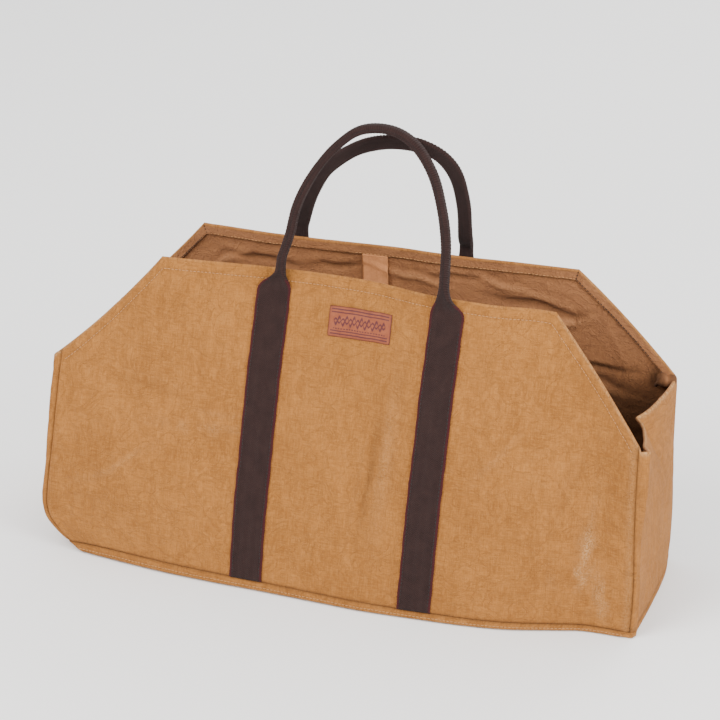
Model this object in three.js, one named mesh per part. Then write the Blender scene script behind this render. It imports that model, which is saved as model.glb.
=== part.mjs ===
import * as THREE from 'three';

// A canvas log carrier, in millimetres. X runs along it, -Y is its front and Z is up.
// Its cloth is one shell, cut at the seams into two panels, two end gussets and a bottom.

// Body
const bodyLength = 677;
const frontHemLength = 447;
const rearHemLength = 436;
const bodyHeight = 354;
const gussetHeight = 233;
const frontRightDrop = 8;
const baseDepth = 198;
const gussetTopDepth = 194;
const gussetTopShift = 5;
const mouthDepth = 128;
const clothThickness = 2;

// Seams
const seamGap = 0.3;
const cornerRadius = 3;
const leftWrapTop = 9;
const leftWrapBottom = 5;
const rightWrap = 4;
const frontSeamLeft = 15;
const frontSeamRight = 7;
const rearSeam = 11;
const baseRound = 8;
const leftBaseTuck = 20;

// Chamfers and the pinch in the gussets
const leftChamferSag = 6;
const rightChamferRise = 4;
const pinchDepth = 23;
const pinchHeight = 105;
const gussetBelly = 5;

// Hem facings inside the panels
const hemWidth = 13;
const sideHemWidth = 11.5;
const hemThickness = 1.5;

// Webbing: straps on the panels, folded into handles above the hem
const strapSpacing = 196;
const frontStrapMid = 4;
const rearStrapMid = -10;
const frontStrapLean = 6;
const webbingWidth = 38;
const webbingThickness = 1.8;
const neckHeight = 30;
const neckClear = 4;
const handleRise = 162;
const frontHandle = { inPlane: 9.5, across: 14, round: 0.75 };
const rearHandle = { inPlane: 16, across: 7, round: 0.75 };
const layGap = 0.4;

// Leather label and the tape inside the rear panel
const labelWidth = 74;
const labelHeight = 32;
const labelThickness = 1.6;
const labelCentre = 8.5;
const labelDrop = 30;
const labelTilt = 1.5;
const tapeWidth = 29;
const tapeLength = 95;
const tapeThickness = 1.8;
const tapeCentre = -15;
const tapeStandOff = 9;

// Mesh steps
const columnStep = 30;
const chamferCells = 5;
const rowShares = [0, 0.025, 0.06, 0.11, 0.19, 0.31, 0.44, 0.57, 0.69, 0.79, 0.88, 0.95, 1];
const loopStations = 26;

const front = -1;
const rear = 1;
const bodyHalf = bodyLength / 2;
const hemHalf = { [front]: frontHemLength / 2, [rear]: rearHemLength / 2 };
const left = -1;
const right = 1;

// How far each panel stands out at its bottom seam: shares of half the base depth,
// at shares of half the body length.
const baseLine = {
  [front]: [
    { at: -1, out: 1.24 },
    { at: -0.8, out: 1.31 },
    { at: -0.5, out: 1.4 },
    { at: -0.2, out: 1.42 },
    { at: 0.12, out: 1.45 },
    { at: 0.33, out: 1.41 },
    { at: 0.49, out: 1.36 },
    { at: 0.61, out: 1.28 },
    { at: 0.76, out: 1.11 },
    { at: 0.84, out: 1.02 },
    { at: 1, out: 1 },
  ],
  [rear]: [
    { at: -1, out: 1 },
    { at: -0.7, out: 1.1 },
    { at: -0.2, out: 1.22 },
    { at: 0.3, out: 1.2 },
    { at: 0.75, out: 1.08 },
    { at: 1, out: 1 },
  ],
};

// How far each panel stands out at its hem: shares of half the mouth depth,
// at shares of half the hem length.
const mouthLine = {
  [front]: [
    { at: -1, out: 1 },
    { at: -0.85, out: 0.95 },
    { at: -0.47, out: 0.78 },
    { at: -0.2, out: 0.73 },
    { at: 0.02, out: 0.75 },
    { at: 0.18, out: 0.84 },
    { at: 0.36, out: 0.99 },
    { at: 0.55, out: 1.04 },
    { at: 0.72, out: 1.04 },
    { at: 0.9, out: 0.94 },
    { at: 1, out: 0.95 },
  ],
  [rear]: [
    { at: -1, out: 0.85 },
    { at: -0.5, out: 0.82 },
    { at: 0, out: 0.95 },
    { at: 0.42, out: 0.97 },
    { at: 0.7, out: 1.06 },
    { at: 1, out: 1.12 },
  ],
};

// Reach of the two ends past half the body length, in shares of that half,
// at shares of the gusset height. The left end hangs over its soft lower corner.
const endLine = [
  { at: 0.03, left: -0.078, right: 0.005 },
  { at: 0.085, left: -0.028, right: 0.006 },
  { at: 0.145, left: 0.01, right: 0.007 },
  { at: 0.2, left: 0.026, right: 0.007 },
  { at: 0.27, left: 0.031, right: 0.006 },
  { at: 0.62, left: 0.013, right: -0.007 },
  { at: 1, left: 0.001, right: -0.013 },
];

// Profile of the bottom's rim: inset in shares of baseRound, height in shares of the seam's.
const rimProfile = [
  { inset: 0, height: 1 },
  { inset: -0.25, height: 0.55 },
  { inset: -0.15, height: 0.16 },
  { inset: 0.5, height: 0 },
];

// Soft folds: centre and length in shares of half the body length, height and width in
// shares of the body height, depth in shares of the base depth, outward when positive.
const folds = [
  { side: front, x: 0.1, z: 0.5, turn: 86, length: 0.6, width: 0.11, depth: -0.016 },
  { side: front, x: -0.04, z: 0.55, turn: 96, length: 0.55, width: 0.09, depth: 0.01 },
  { side: front, x: -0.55, z: 0.62, turn: -9, length: 0.45, width: 0.1, depth: -0.012 },
  { side: front, x: -0.72, z: 0.3, turn: 38, length: 0.35, width: 0.12, depth: 0.016 },
  { side: front, x: 0.55, z: 0.6, turn: 62, length: 0.4, width: 0.12, depth: 0.014 },
  { side: front, x: 0.86, z: 0.34, turn: 88, length: 0.45, width: 0.1, depth: -0.03 },
  { side: rear, x: -0.22, z: 0.89, turn: 3, length: 0.35, width: 0.05, depth: 0.018 },
  { side: rear, x: 0.42, z: 0.85, turn: -6, length: 0.3, width: 0.06, depth: 0.014 },
  { side: rear, x: 0.74, z: 0.5, turn: -12, length: 0.3, width: 0.08, depth: -0.022 },
  { side: rear, x: 0.62, z: 0.7, turn: 24, length: 0.28, width: 0.07, depth: 0.018 },
  { side: rear, x: -0.6, z: 0.45, turn: 55, length: 0.4, width: 0.12, depth: 0.02 },
];

// The folding of a strap into a handle, from the foot of the neck to the hem's edge.
const neckFold = [
  { at: 0, fold: 0 },
  { at: 0.22, fold: 0.03 },
  { at: 0.42, fold: 0.22 },
  { at: 0.62, fold: 0.66 },
  { at: 0.8, fold: 0.93 },
  { at: 1, fold: 1 },
];

// Middle of each handle: x in shares of half the strap spacing, y in shares of half the
// mouth depth, z in shares of the handle's rise over the hem.
const frontLoop = [
  { x: -0.86, y: -0.75, z: 0.25 },
  { x: -0.81, y: -0.63, z: 0.44 },
  { x: -0.71, y: -0.52, z: 0.6 },
  { x: -0.59, y: -0.42, z: 0.73 },
  { x: -0.42, y: -0.33, z: 0.86 },
  { x: -0.21, y: -0.25, z: 0.965 },
  { x: 0, y: -0.22, z: 1 },
  { x: 0.24, y: -0.22, z: 0.99 },
  { x: 0.47, y: -0.28, z: 0.92 },
  { x: 0.69, y: -0.39, z: 0.76 },
  { x: 0.84, y: -0.55, z: 0.55 },
  { x: 0.93, y: -0.7, z: 0.33 },
];
const rearLoop = [
  { x: -0.85, y: 0.72, z: 0.22 },
  { x: -0.71, y: 0.52, z: 0.42 },
  { x: -0.55, y: 0.37, z: 0.58 },
  { x: -0.33, y: 0.23, z: 0.71 },
  { x: -0.08, y: 0.14, z: 0.81 },
  { x: 0.17, y: 0.09, z: 0.865 },
  { x: 0.42, y: 0.06, z: 0.885 },
  { x: 0.63, y: 0.08, z: 0.87 },
  { x: 0.83, y: 0.14, z: 0.81 },
  { x: 0.97, y: 0.25, z: 0.695 },
  { x: 1.045, y: 0.48, z: 0.46 },
  { x: 1.04, y: 0.77, z: 0.17 },
];

const mix = THREE.MathUtils.lerp;
const clamp = THREE.MathUtils.clamp;

// Smooth value of one column of a table, held level beyond its first and last rows.
function follow(rows, at, column) {
  const last = rows.length - 1;
  if (at <= rows[0].at) return rows[0][column];
  if (at >= rows[last].at) return rows[last][column];
  let i = 0;
  while (rows[i + 1].at < at) i += 1;
  const slope = (k) => {
    const a = rows[Math.max(k - 1, 0)];
    const b = rows[Math.min(k + 1, last)];
    return (b[column] - a[column]) / (b.at - a.at);
  };
  const span = rows[i + 1].at - rows[i].at;
  const t = (at - rows[i].at) / span;
  const t2 = t * t;
  const t3 = t2 * t;
  return (
    (2 * t3 - 3 * t2 + 1) * rows[i][column] +
    (t3 - 2 * t2 + t) * span * slope(i) +
    (3 * t2 - 2 * t3) * rows[i + 1][column] +
    (t3 - t2) * span * slope(i + 1)
  );
}

// 0 under the straight hem, 1 at the end of the body.
function chamferShare(side, c) {
  return clamp((Math.abs(c) - hemHalf[side]) / (bodyHalf - hemHalf[side]), 0, 1);
}

function topHeight(side, c) {
  const s = chamferShare(side, c);
  const bow = c < 0 ? -leftChamferSag : rightChamferRise;
  const drop = side === front && c > 0 ? frontRightDrop : 0;
  return mix(bodyHeight, gussetHeight - drop, s) + bow * 4 * s * (1 - s);
}

function seamHeight(side, c) {
  if (side === rear) return rearSeam;
  return mix(frontSeamLeft, frontSeamRight, (c + bodyHalf) / bodyLength);
}

function foldDepth(side, c, z) {
  let depth = 0;
  for (const f of folds) {
    if (f.side !== side) continue;
    const turn = THREE.MathUtils.degToRad(f.turn);
    const dx = c - f.x * bodyHalf;
    const dz = z - f.z * bodyHeight;
    const along = (dx * Math.cos(turn) + dz * Math.sin(turn)) / (f.length * bodyHalf);
    const over = (dz * Math.cos(turn) - dx * Math.sin(turn)) / (f.width * bodyHeight);
    depth += f.depth * baseDepth * Math.exp(-2 * (along * along + over * over));
  }
  return depth;
}

// A point of a panel's outer face: c is its column's place along the panel, v its share
// of the way from the bottom seam to the top edge.
function panelPoint(side, c, v) {
  const s = chamferShare(side, c);
  const z = mix(seamHeight(side, c), topHeight(side, c), v);
  const low = (follow(baseLine[side], c / bodyHalf, 'out') * baseDepth) / 2;
  const hem = (follow(mouthLine[side], c / hemHalf[side], 'out') * mouthDepth) / 2;
  const high = mix(hem, gussetTopDepth / 2 - side * gussetTopShift, s);
  const lean = 1.3 + 1.1 * (c / bodyHalf) ** 2;
  const edge = Math.sin(Math.PI * v) * (1 - s ** 4);
  const y = low + (high - low) * v ** lean + foldDepth(side, c, z) * edge;
  const reach = follow(endLine, z / gussetHeight, c < 0 ? 'left' : 'right') * bodyHalf;
  return new THREE.Vector3(c + Math.sign(c) * s * reach, side * y, z);
}

// Lengths along X at an end edge grow by this factor where the edge leans.
function edgeStretch(end, v) {
  const step = 0.01;
  const lower = panelPoint(front, end * bodyHalf, Math.max(v - step, 0));
  const upper = panelPoint(front, end * bodyHalf, Math.min(v + step, 1));
  return Math.hypot(1, (upper.x - lower.x) / (upper.z - lower.z));
}

function wrapWidth(end, v) {
  const width = end === left ? mix(leftWrapBottom, leftWrapTop, v) : rightWrap;
  return width * edgeStretch(end, v);
}

// The column where a panel's cloth starts to turn round the corner.
function turnPoint(side, end, v) {
  return panelPoint(side, end * (bodyHalf - cornerRadius * edgeStretch(end, v)), v);
}

// The two corner columns and the end of a gusset, from its front corner to its rear one.
function gussetPoint(end, share, v) {
  const frontCorner = panelPoint(front, end * bodyHalf, v);
  const rearCorner = panelPoint(rear, end * bodyHalf, v);
  const low = frontCorner.y + cornerRadius;
  const high = rearCorner.y - cornerRadius;
  const z = mix(frontCorner.z, rearCorner.z, (share + 1) / 2);
  const rise = clamp((z - gussetHeight + pinchHeight) / pinchHeight, 0, 1);
  const middle = (low + high) / 2;
  const crease = middle + mix(0.22, -0.1, rise) * (high - low);
  const y = share < 0 ? mix(low, crease, 1 + share) : mix(crease, high, share);
  const fade = share < 0 ? 7.5 : 4.5;
  const edge = 1 - Math.abs(share) ** 3;
  const pinch = pinchDepth * rise ** 1.4 * Math.exp((-fade * Math.abs(y - crease)) / baseDepth) * edge;
  const belly = gussetBelly * (1 - share * share) * (1 - z / gussetHeight);
  return new THREE.Vector3(mix(frontCorner.x, rearCorner.x, (share + 1) / 2) + end * (belly - pinch), y, z);
}

function cornerPoint(side, end, v) {
  const corner = panelPoint(side, end * bodyHalf, v);
  const cut = cornerRadius * (1 - Math.SQRT1_2);
  return corner.add(new THREE.Vector3(-end * cut * edgeStretch(end, v), -side * cut, 0));
}

// Columns between the given ones, so that no step along the foot is longer than columnStep.
function fill(columns) {
  const out = [columns[0]];
  for (let i = 1; i < columns.length; i += 1) {
    const before = columns[i - 1];
    const after = columns[i];
    const count = Math.max(1, Math.ceil((after(0) - before(0)) / columnStep));
    for (let k = 1; k <= count; k += 1) out.push((v) => mix(before(v), after(v), k / count));
  }
  return out;
}

// Middle of a strap at v. The front's right strap leans away from the other one.
function strapCentre(side, end, v) {
  const lean = side === front && end === right ? frontStrapLean : 0;
  return (side === front ? frontStrapMid : rearStrapMid) + (end * strapSpacing) / 2 + lean * v;
}

// Columns of a panel from left to right, each a function of v giving its place c.
function panelColumns(side) {
  const marks = [() => -hemHalf[side]];
  for (const end of [left, right]) {
    for (const edge of [-0.5, 0, 0.5]) marks.push((v) => strapCentre(side, end, v) + edge * webbingWidth);
  }
  marks.push(() => hemHalf[side]);
  const middle = fill(marks);
  const chamfer = (end) => {
    const list = [];
    for (let k = 1; k <= chamferCells; k += 1) {
      list.push((v) => end * mix(hemHalf[side], bodyHalf - wrapWidth(end, v), k / chamferCells));
    }
    return list;
  };
  return [...chamfer(left).reverse(), ...middle, ...chamfer(right)];
}

// The whole shell: columns round the body, starting at the left end of the front.
const gussetShares = [-1, -0.82, -0.62, -0.42, -0.24, -0.1, 0, 0.1, 0.24, 0.42, 0.62, 0.82, 1];
const ring = [];
const span = {};

function addPanel(name, side) {
  const columns = panelColumns(side);
  if (side === rear) columns.reverse();
  span[name] = { from: ring.length };
  for (const place of columns) {
    ring.push({ side, place, point: (v) => panelPoint(side, place(v), v) });
  }
  span[name].to = ring.length - 1;
}

function addGusset(name, end) {
  const start = end === right ? front : rear;
  const shares = start === front ? gussetShares : [...gussetShares].reverse();
  span[name] = { from: ring.length - 1 };
  ring.push({ point: (v) => turnPoint(start, end, v) });
  ring.push({ point: (v) => cornerPoint(start, end, v) });
  for (const share of shares) ring.push({ point: (v) => gussetPoint(end, share, v) });
  ring.push({ point: (v) => cornerPoint(-start, end, v) });
  ring.push({ point: (v) => turnPoint(-start, end, v) });
  span[name].to = ring.length;
}

addPanel('front_panel', front);
addGusset('right_gusset', right);
addPanel('rear_panel', rear);
addGusset('left_gusset', left);

const around = (i) => (i + ring.length) % ring.length;
const shell = ring.map((column) => rowShares.map((v) => column.point(v)));

function tangentAt(i, j) {
  return shell[around(i + 1)][j].clone().sub(shell[around(i - 1)][j]).normalize();
}

function risingAt(i, j) {
  const above = shell[around(i)][Math.min(j + 1, rowShares.length - 1)];
  return above.clone().sub(shell[around(i)][Math.max(j - 1, 0)]).normalize();
}

function outwardAt(i, j) {
  return tangentAt(i, j).cross(risingAt(i, j)).normalize();
}

const outward = shell.map((column, i) => column.map((_, j) => outwardAt(i, j)));

// Closed solid from points and triangles, turned so that its faces point out.
function solid(points, triangles) {
  let volume = 0;
  for (const [a, b, c] of triangles) {
    volume += points[a].dot(points[b].clone().cross(points[c]));
  }
  const faces = volume < 0 ? triangles.map(([a, b, c]) => [a, c, b]) : triangles;
  const geometry = new THREE.BufferGeometry();
  geometry.setAttribute('position', new THREE.Float32BufferAttribute(points.flatMap((p) => p.toArray()), 3));
  geometry.setIndex(faces.flat());
  geometry.computeVertexNormals();
  return geometry;
}

// Wall between two grids of points with the same rows and columns.
function wall(outer, inner) {
  const columns = outer.length;
  const rows = outer[0].length;
  const points = [...outer.flat(), ...inner.flat()];
  const far = columns * rows;
  const at = (i, j) => i * rows + j;
  const triangles = [];
  const quad = (a, b, c, d) => triangles.push([a, b, c], [a, c, d]);
  for (let i = 0; i + 1 < columns; i += 1) {
    for (let j = 0; j + 1 < rows; j += 1) {
      quad(at(i, j), at(i + 1, j), at(i + 1, j + 1), at(i, j + 1));
      quad(far + at(i, j), far + at(i, j + 1), far + at(i + 1, j + 1), far + at(i + 1, j));
    }
    quad(at(i, 0), far + at(i, 0), far + at(i + 1, 0), at(i + 1, 0));
    quad(at(i, rows - 1), at(i + 1, rows - 1), far + at(i + 1, rows - 1), far + at(i, rows - 1));
  }
  for (let j = 0; j + 1 < rows; j += 1) {
    quad(at(0, j), at(0, j + 1), far + at(0, j + 1), far + at(0, j));
    const e = columns - 1;
    quad(at(e, j), far + at(e, j), far + at(e, j + 1), at(e, j + 1));
  }
  return solid(points, triangles);
}

// One cloth piece of the shell, drawn back from its seams by half the seam gap.
function shellPiece(name) {
  const { from, to } = span[name];
  const outer = [];
  const inner = [];
  for (let i = from; i <= to; i += 1) {
    const k = around(i);
    const back = i === from ? seamGap / 2 : i === to ? -seamGap / 2 : 0;
    const lift = seamGap / 2;
    outer.push(shell[k].map((p, j) => {
      const moved = p.clone().addScaledVector(risingAt(i, j).cross(outward[k][j]), back);
      if (j === 0) moved.z += lift;
      return moved;
    }));
    inner.push(outer[outer.length - 1].map((p, j) => p.clone().addScaledVector(outward[k][j], -clothThickness)));
  }
  return wall(outer, inner);
}

// The bottom: a shallow tray whose rounded rim meets the shell's lowest row.
function bottomPiece() {
  const shrink = (p, d, height, z) => {
    const nearLeft = clamp(-p.x / bodyHalf, 0, 1) ** 6;
    const dx = d + leftBaseTuck * nearLeft * (1 - height);
    return new THREE.Vector3(p.x * (1 - dx / bodyHalf), p.y * (1 - (2 * d) / baseDepth), z);
  };
  const outer = [];
  const inner = [];
  for (const column of shell) {
    const rim = column[0];
    const top = rim.z - seamGap / 2;
    outer.push(rimProfile.map((r) => shrink(rim, r.inset * baseRound, r.height, r.height * top)));
    inner.push(rimProfile.map((r) => shrink(
      rim,
      r.inset * baseRound + clothThickness,
      r.height,
      mix(clothThickness, top, r.height),
    )));
  }
  const count = shell.length;
  const rows = rimProfile.length;
  const points = [...outer.flat(), ...inner.flat()];
  const far = count * rows;
  const at = (i, j) => around(i) * rows + j;
  const triangles = [];
  const quad = (a, b, c, d) => triangles.push([a, b, c], [a, c, d]);
  for (let i = 0; i < count; i += 1) {
    for (let j = 0; j + 1 < rows; j += 1) {
      quad(at(i, j), at(i, j + 1), at(i + 1, j + 1), at(i + 1, j));
      quad(far + at(i, j), far + at(i + 1, j), far + at(i + 1, j + 1), far + at(i, j + 1));
    }
    quad(at(i, 0), at(i + 1, 0), far + at(i + 1, 0), far + at(i, 0));
  }
  const floor = (grid) => grid.map((column) => new THREE.Vector2(column[rows - 1].x, column[rows - 1].y));
  const e = rows - 1;
  for (const [a, b, c] of THREE.ShapeUtils.triangulateShape(floor(outer), [])) {
    triangles.push([at(a, e), at(c, e), at(b, e)]);
  }
  for (const [a, b, c] of THREE.ShapeUtils.triangulateShape(floor(inner), [])) {
    triangles.push([far + at(a, e), far + at(b, e), far + at(c, e)]);
  }
  return solid(points, triangles);
}

// A point on a panel as built of flat faces, moved along its normal by lift.
function onPanel(side, c, z, lift) {
  const { from, to } = side === front ? span.front_panel : span.rear_panel;
  const v = clamp((z - seamHeight(side, c)) / (topHeight(side, c) - seamHeight(side, c)), 0, 1);
  let j = 0;
  while (j + 2 < rowShares.length && rowShares[j + 1] < v) j += 1;
  const t = (v - rowShares[j]) / (rowShares[j + 1] - rowShares[j]);
  const placeOf = (i) => ring[i].place(v) * -side;
  let i = from;
  while (i + 2 <= to && placeOf(i + 1) < c * -side) i += 1;
  const s = clamp((c * -side - placeOf(i)) / (placeOf(i + 1) - placeOf(i)), 0, 1);
  const blend = (grid) => {
    const lower = grid[i][j].clone().lerp(grid[i + 1][j], s);
    const upper = grid[i][j + 1].clone().lerp(grid[i + 1][j + 1], s);
    return lower.lerp(upper, t);
  };
  return blend(shell).addScaledVector(blend(outward).normalize(), lift);
}

// Sheet laid on a panel: places is a grid of {c, z}, near and far its two lifts.
function laidSheet(side, places, near, far) {
  const at = (lift) => places.map((column) => column.map(({ c, z }) => onPanel(side, c, z, lift)));
  return wall(at(far), at(near));
}

// Height of the side facing along Z, and how far its mitre leans in at the hem's end.
function mitre(side) {
  const slope = (bodyHeight - gussetHeight) / (bodyHalf - hemHalf[side]);
  const drop = sideHemWidth * Math.hypot(1, slope);
  return { drop, inset: (drop - hemWidth) / slope };
}

// The facing turned down inside a straight hem, with mitred ends.
function topHem(side) {
  const { inset } = mitre(side);
  const limit = hemHalf[side] - seamGap;
  const places = ring
    .filter((column) => column.side === side)
    .map((column) => column.place(1))
    .filter((c) => Math.abs(c) <= hemHalf[side] + seamGap)
    .map((c) => [
      { c: clamp(c, -limit + inset, limit - inset), z: bodyHeight - hemWidth },
      { c: clamp(c, -limit, limit), z: bodyHeight },
    ]);
  const near = -clothThickness - layGap;
  return laidSheet(side, places, near - hemThickness, near);
}

// The facing inside one chamfer, from its mitre down to the gusset.
function sideHem(side, end) {
  const { drop, inset } = mitre(side);
  const stop = bodyHalf - wrapWidth(end, 1);
  const places = [];
  for (let k = 0; k <= chamferCells; k += 1) {
    const share = k / chamferCells;
    const upper = end * mix(hemHalf[side] + seamGap, stop, share);
    const lower = end * mix(hemHalf[side] + seamGap - inset, stop, share);
    const lowerTop = k === 0 ? bodyHeight - hemWidth : topHeight(side, lower) - drop;
    places.push([0, 0.5, 1].map((h) => ({
      c: mix(lower, upper, h),
      z: mix(lowerTop, topHeight(side, upper), h),
    })));
  }
  const near = -clothThickness - layGap;
  return laidSheet(side, places, near - hemThickness, near);
}

// The eight corners of a webbing section, as shares of its half sizes.
function sectionCorners(round) {
  const k = 1 - 0.29 * round;
  return [[k, -k], [1, 0], [k, k], [0, 1], [-k, k], [-1, 0], [-k, -k], [0, -1]];
}

// A section lying on a panel. Its first side points away from the other strap.
function laidSection(side, end, c, z, width, thick, round) {
  return sectionCorners(round).map(([a, b]) => {
    const lift = layGap + (thick * (1 + side * b)) / 2;
    return onPanel(side, c + (end * a * width) / 2, z, lift);
  });
}

// Strap, neck and handle in one piece of webbing, from one panel seam over to the other.
function webbingPiece(side, handle, rows) {
  const mid = side === front ? frontStrapMid : rearStrapMid;
  const neckFoot = bodyHeight - neckHeight;
  const loopPoint = (r) => new THREE.Vector3(
    mid + (r.x * strapSpacing) / 2,
    (r.y * mouthDepth) / 2,
    bodyHeight + r.z * handleRise,
  );
  const strapSections = (end) => {
    const goal = loopPoint(rows[end === left ? 0 : rows.length - 1]).x;
    const list = [];
    for (const v of rowShares) {
      const centre = strapCentre(side, end, v);
      const foot = seamHeight(side, centre) + seamGap;
      const z = mix(seamHeight(side, centre), bodyHeight, v);
      if (z > neckFoot - neckClear) break;
      list.push(laidSection(side, end, centre, Math.max(z, foot), webbingWidth, webbingThickness, 0));
    }
    for (const { at, fold } of neckFold) {
      const z = neckFoot + at * neckHeight;
      const c = mix(strapCentre(side, end, z / bodyHeight), goal, fold * 0.45);
      const width = mix(webbingWidth, handle.inPlane, fold);
      const thick = mix(webbingThickness, handle.across, fold);
      list.push(laidSection(side, end, c, z, width, thick, handle.round * fold));
    }
    return list;
  };
  const rising = strapSections(left);
  const falling = strapSections(right).reverse();
  const middleOf = (section) => section[1].clone().add(section[5]).multiplyScalar(0.5);
  const neckLift = new THREE.Vector3(0, 0, neckHeight / 3);
  const start = middleOf(rising[rising.length - 1]).add(neckLift);
  const finish = middleOf(falling[0]).add(neckLift);
  const path = new THREE.CatmullRomCurve3([start, ...rows.map(loopPoint), finish], false, 'centripetal');
  const loop = [];
  for (let i = 0; i <= loopStations; i += 1) {
    const centre = path.getPointAt(i / loopStations);
    const along = path.getTangentAt(i / loopStations);
    const out = along.clone().cross(new THREE.Vector3(0, 1, 0)).normalize();
    const across = out.clone().cross(along).normalize();
    loop.push(sectionCorners(handle.round).map(([a, b]) => centre.clone()
      .addScaledVector(out, (a * handle.inPlane) / 2)
      .addScaledVector(across, (b * handle.across) / 2)));
  }
  return loft([...rising, ...loop, ...falling]);
}

// Closed bar through sections that all have the same number of corners.
function loft(sections) {
  const corners = sections[0].length;
  const points = sections.flat();
  const at = (i, k) => i * corners + (k % corners);
  const triangles = [];
  for (let i = 0; i + 1 < sections.length; i += 1) {
    for (let k = 0; k < corners; k += 1) {
      triangles.push([at(i, k), at(i + 1, k), at(i + 1, k + 1)], [at(i, k), at(i + 1, k + 1), at(i, k + 1)]);
    }
  }
  const e = sections.length - 1;
  for (let k = 1; k + 1 < corners; k += 1) {
    triangles.push([at(0, 0), at(0, k), at(0, k + 1)], [at(e, 0), at(e, k + 1), at(e, k)]);
  }
  return solid(points, triangles);
}

function labelPiece() {
  const middle = bodyHeight - labelDrop - labelHeight / 2;
  const tilt = THREE.MathUtils.degToRad(labelTilt);
  const places = [-0.5, -0.25, 0, 0.25, 0.5].map((s) => [-0.5, 0, 0.5].map((h) => ({
    c: labelCentre + s * labelWidth * Math.cos(tilt) - h * labelHeight * Math.sin(tilt),
    z: middle + h * labelHeight * Math.cos(tilt) + s * labelWidth * Math.sin(tilt),
  })));
  return laidSheet(front, places, layGap, layGap + labelThickness);
}

// A tab of tape hanging from under the rear facing, its lower end standing off the panel.
function tapePiece() {
  const top = bodyHeight - hemWidth - seamGap;
  const level = (lift) => [-0.5, 0, 0.5].map((s) => [1, 0.66, 0.33, 0].map((h) => {
    const lean = tapeStandOff * h ** 2;
    return onPanel(rear, tapeCentre - s * tapeWidth, top - h * tapeLength, -clothThickness - lean - lift);
  }));
  return wall(level(layGap), level(layGap + tapeThickness));
}

const canvas = { color: 0xc0925f, roughness: 0.92, metalness: 0 };
const facing = { color: 0xb08254, roughness: 0.92, metalness: 0 };
const webbing = { color: 0x473330, roughness: 0.85, metalness: 0 };
const leather = { color: 0xab7156, roughness: 0.6, metalness: 0 };
const tape = { color: 0xb5805d, roughness: 0.9, metalness: 0 };

const carrier = new THREE.Group();

function add(name, geometry, look) {
  const mesh = new THREE.Mesh(geometry, new THREE.MeshStandardMaterial(look));
  mesh.name = name;
  carrier.add(mesh);
}

for (const name of Object.keys(span)) add(name, shellPiece(name), canvas);
add('bottom_panel', bottomPiece(), canvas);
for (const [name, side] of [['front', front], ['rear', rear]]) {
  add(`${name}_hem_top`, topHem(side), facing);
  add(`${name}_hem_left`, sideHem(side, left), facing);
  add(`${name}_hem_right`, sideHem(side, right), facing);
}
add('front_webbing', webbingPiece(front, frontHandle, frontLoop), webbing);
add('rear_webbing', webbingPiece(rear, rearHandle, rearLoop), webbing);
add('label_patch', labelPiece(), leather);
add('inner_tape', tapePiece(), tape);

export default carrier;
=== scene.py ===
"""Canvas log carrier: sewn canvas, webbing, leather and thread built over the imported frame."""
import math

import bpy
import numpy as np
from mathutils import Matrix, Vector


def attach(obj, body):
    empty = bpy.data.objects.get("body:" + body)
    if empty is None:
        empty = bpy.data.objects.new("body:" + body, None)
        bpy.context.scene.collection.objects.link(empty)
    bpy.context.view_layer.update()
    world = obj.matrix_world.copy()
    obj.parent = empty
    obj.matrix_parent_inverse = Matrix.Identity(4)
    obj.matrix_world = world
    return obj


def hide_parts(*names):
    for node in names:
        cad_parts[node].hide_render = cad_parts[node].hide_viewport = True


bl_info = {
    "name": "Canvas log carrier",
    "version": (1, 0, 0),
    "blender": (4, 5, 0),
    "location": "3D View > Sidebar > Log carrier",
    "description": "Builds a canvas log carrier with webbing handles over its packed frame",
    "category": "Object",
}

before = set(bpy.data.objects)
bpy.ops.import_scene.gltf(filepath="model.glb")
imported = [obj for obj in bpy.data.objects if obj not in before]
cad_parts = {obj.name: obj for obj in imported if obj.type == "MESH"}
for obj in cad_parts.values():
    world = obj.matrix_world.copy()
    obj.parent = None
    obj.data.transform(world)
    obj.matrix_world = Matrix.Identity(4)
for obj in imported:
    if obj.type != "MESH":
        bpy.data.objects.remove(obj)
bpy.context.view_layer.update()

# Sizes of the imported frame, in millimetres. X runs along the carrier and -Y is its front.
BODY_LENGTH = 677.0
BODY_HEIGHT = 354.0
GUSSET_HEIGHT = 233.0
FRONT_RIGHT_DROP = 8.0
BASE_DEPTH = 198.0
GUSSET_TOP_DEPTH = 194.0
GUSSET_TOP_SHIFT = 5.0
MOUTH_DEPTH = 128.0
CLOTH = 2.0
SEAM_GAP = 0.3
CORNER_RADIUS = 3.0
LEFT_WRAP = (5.0, 9.0)
RIGHT_WRAP = 4.0
FRONT_SEAM = (15.0, 7.0)
REAR_SEAM = 11.0
BASE_ROUND = 8.0
LEFT_BASE_TUCK = 34.0
REAR_LEFT_SLUMP = 7.0
LEFT_SEAM_DIP = 4.0
LEFT_CHAMFER_SAG = 6.0
RIGHT_CHAMFER_RISE = 4.0
PINCH_DEPTH = 23.0
PINCH_HEIGHT = 105.0
GUSSET_BELLY = 5.0
HEM_WIDTH = 13.0
SIDE_HEM_WIDTH = 11.5
HEM_THICKNESS = 1.5
STRAP_SPACING = 196.0
STRAP_MID = {-1: 4.0, 1: -10.0}
FRONT_STRAP_LEAN = 6.0
WEBBING_WIDTH = 38.0
WEBBING_THICKNESS = 1.8
NECK_HEIGHT = 30.0
HANDLE_RISE = 162.0
HANDLE = {-1: (9.5, 14.0), 1: (16.0, 7.0)}
LAY_GAP = 0.4
LABEL_WIDTH = 74.0
LABEL_HEIGHT = 32.0
LABEL_THICKNESS = 1.6
LABEL_CENTRE = 8.5
LABEL_DROP = 30.0
LABEL_TILT = math.radians(1.5)
TAPE_WIDTH = 29.0
TAPE_LENGTH = 95.0
TAPE_THICKNESS = 1.8
TAPE_CENTRE = -15.0
TAPE_STAND_OFF = 9.0

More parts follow.
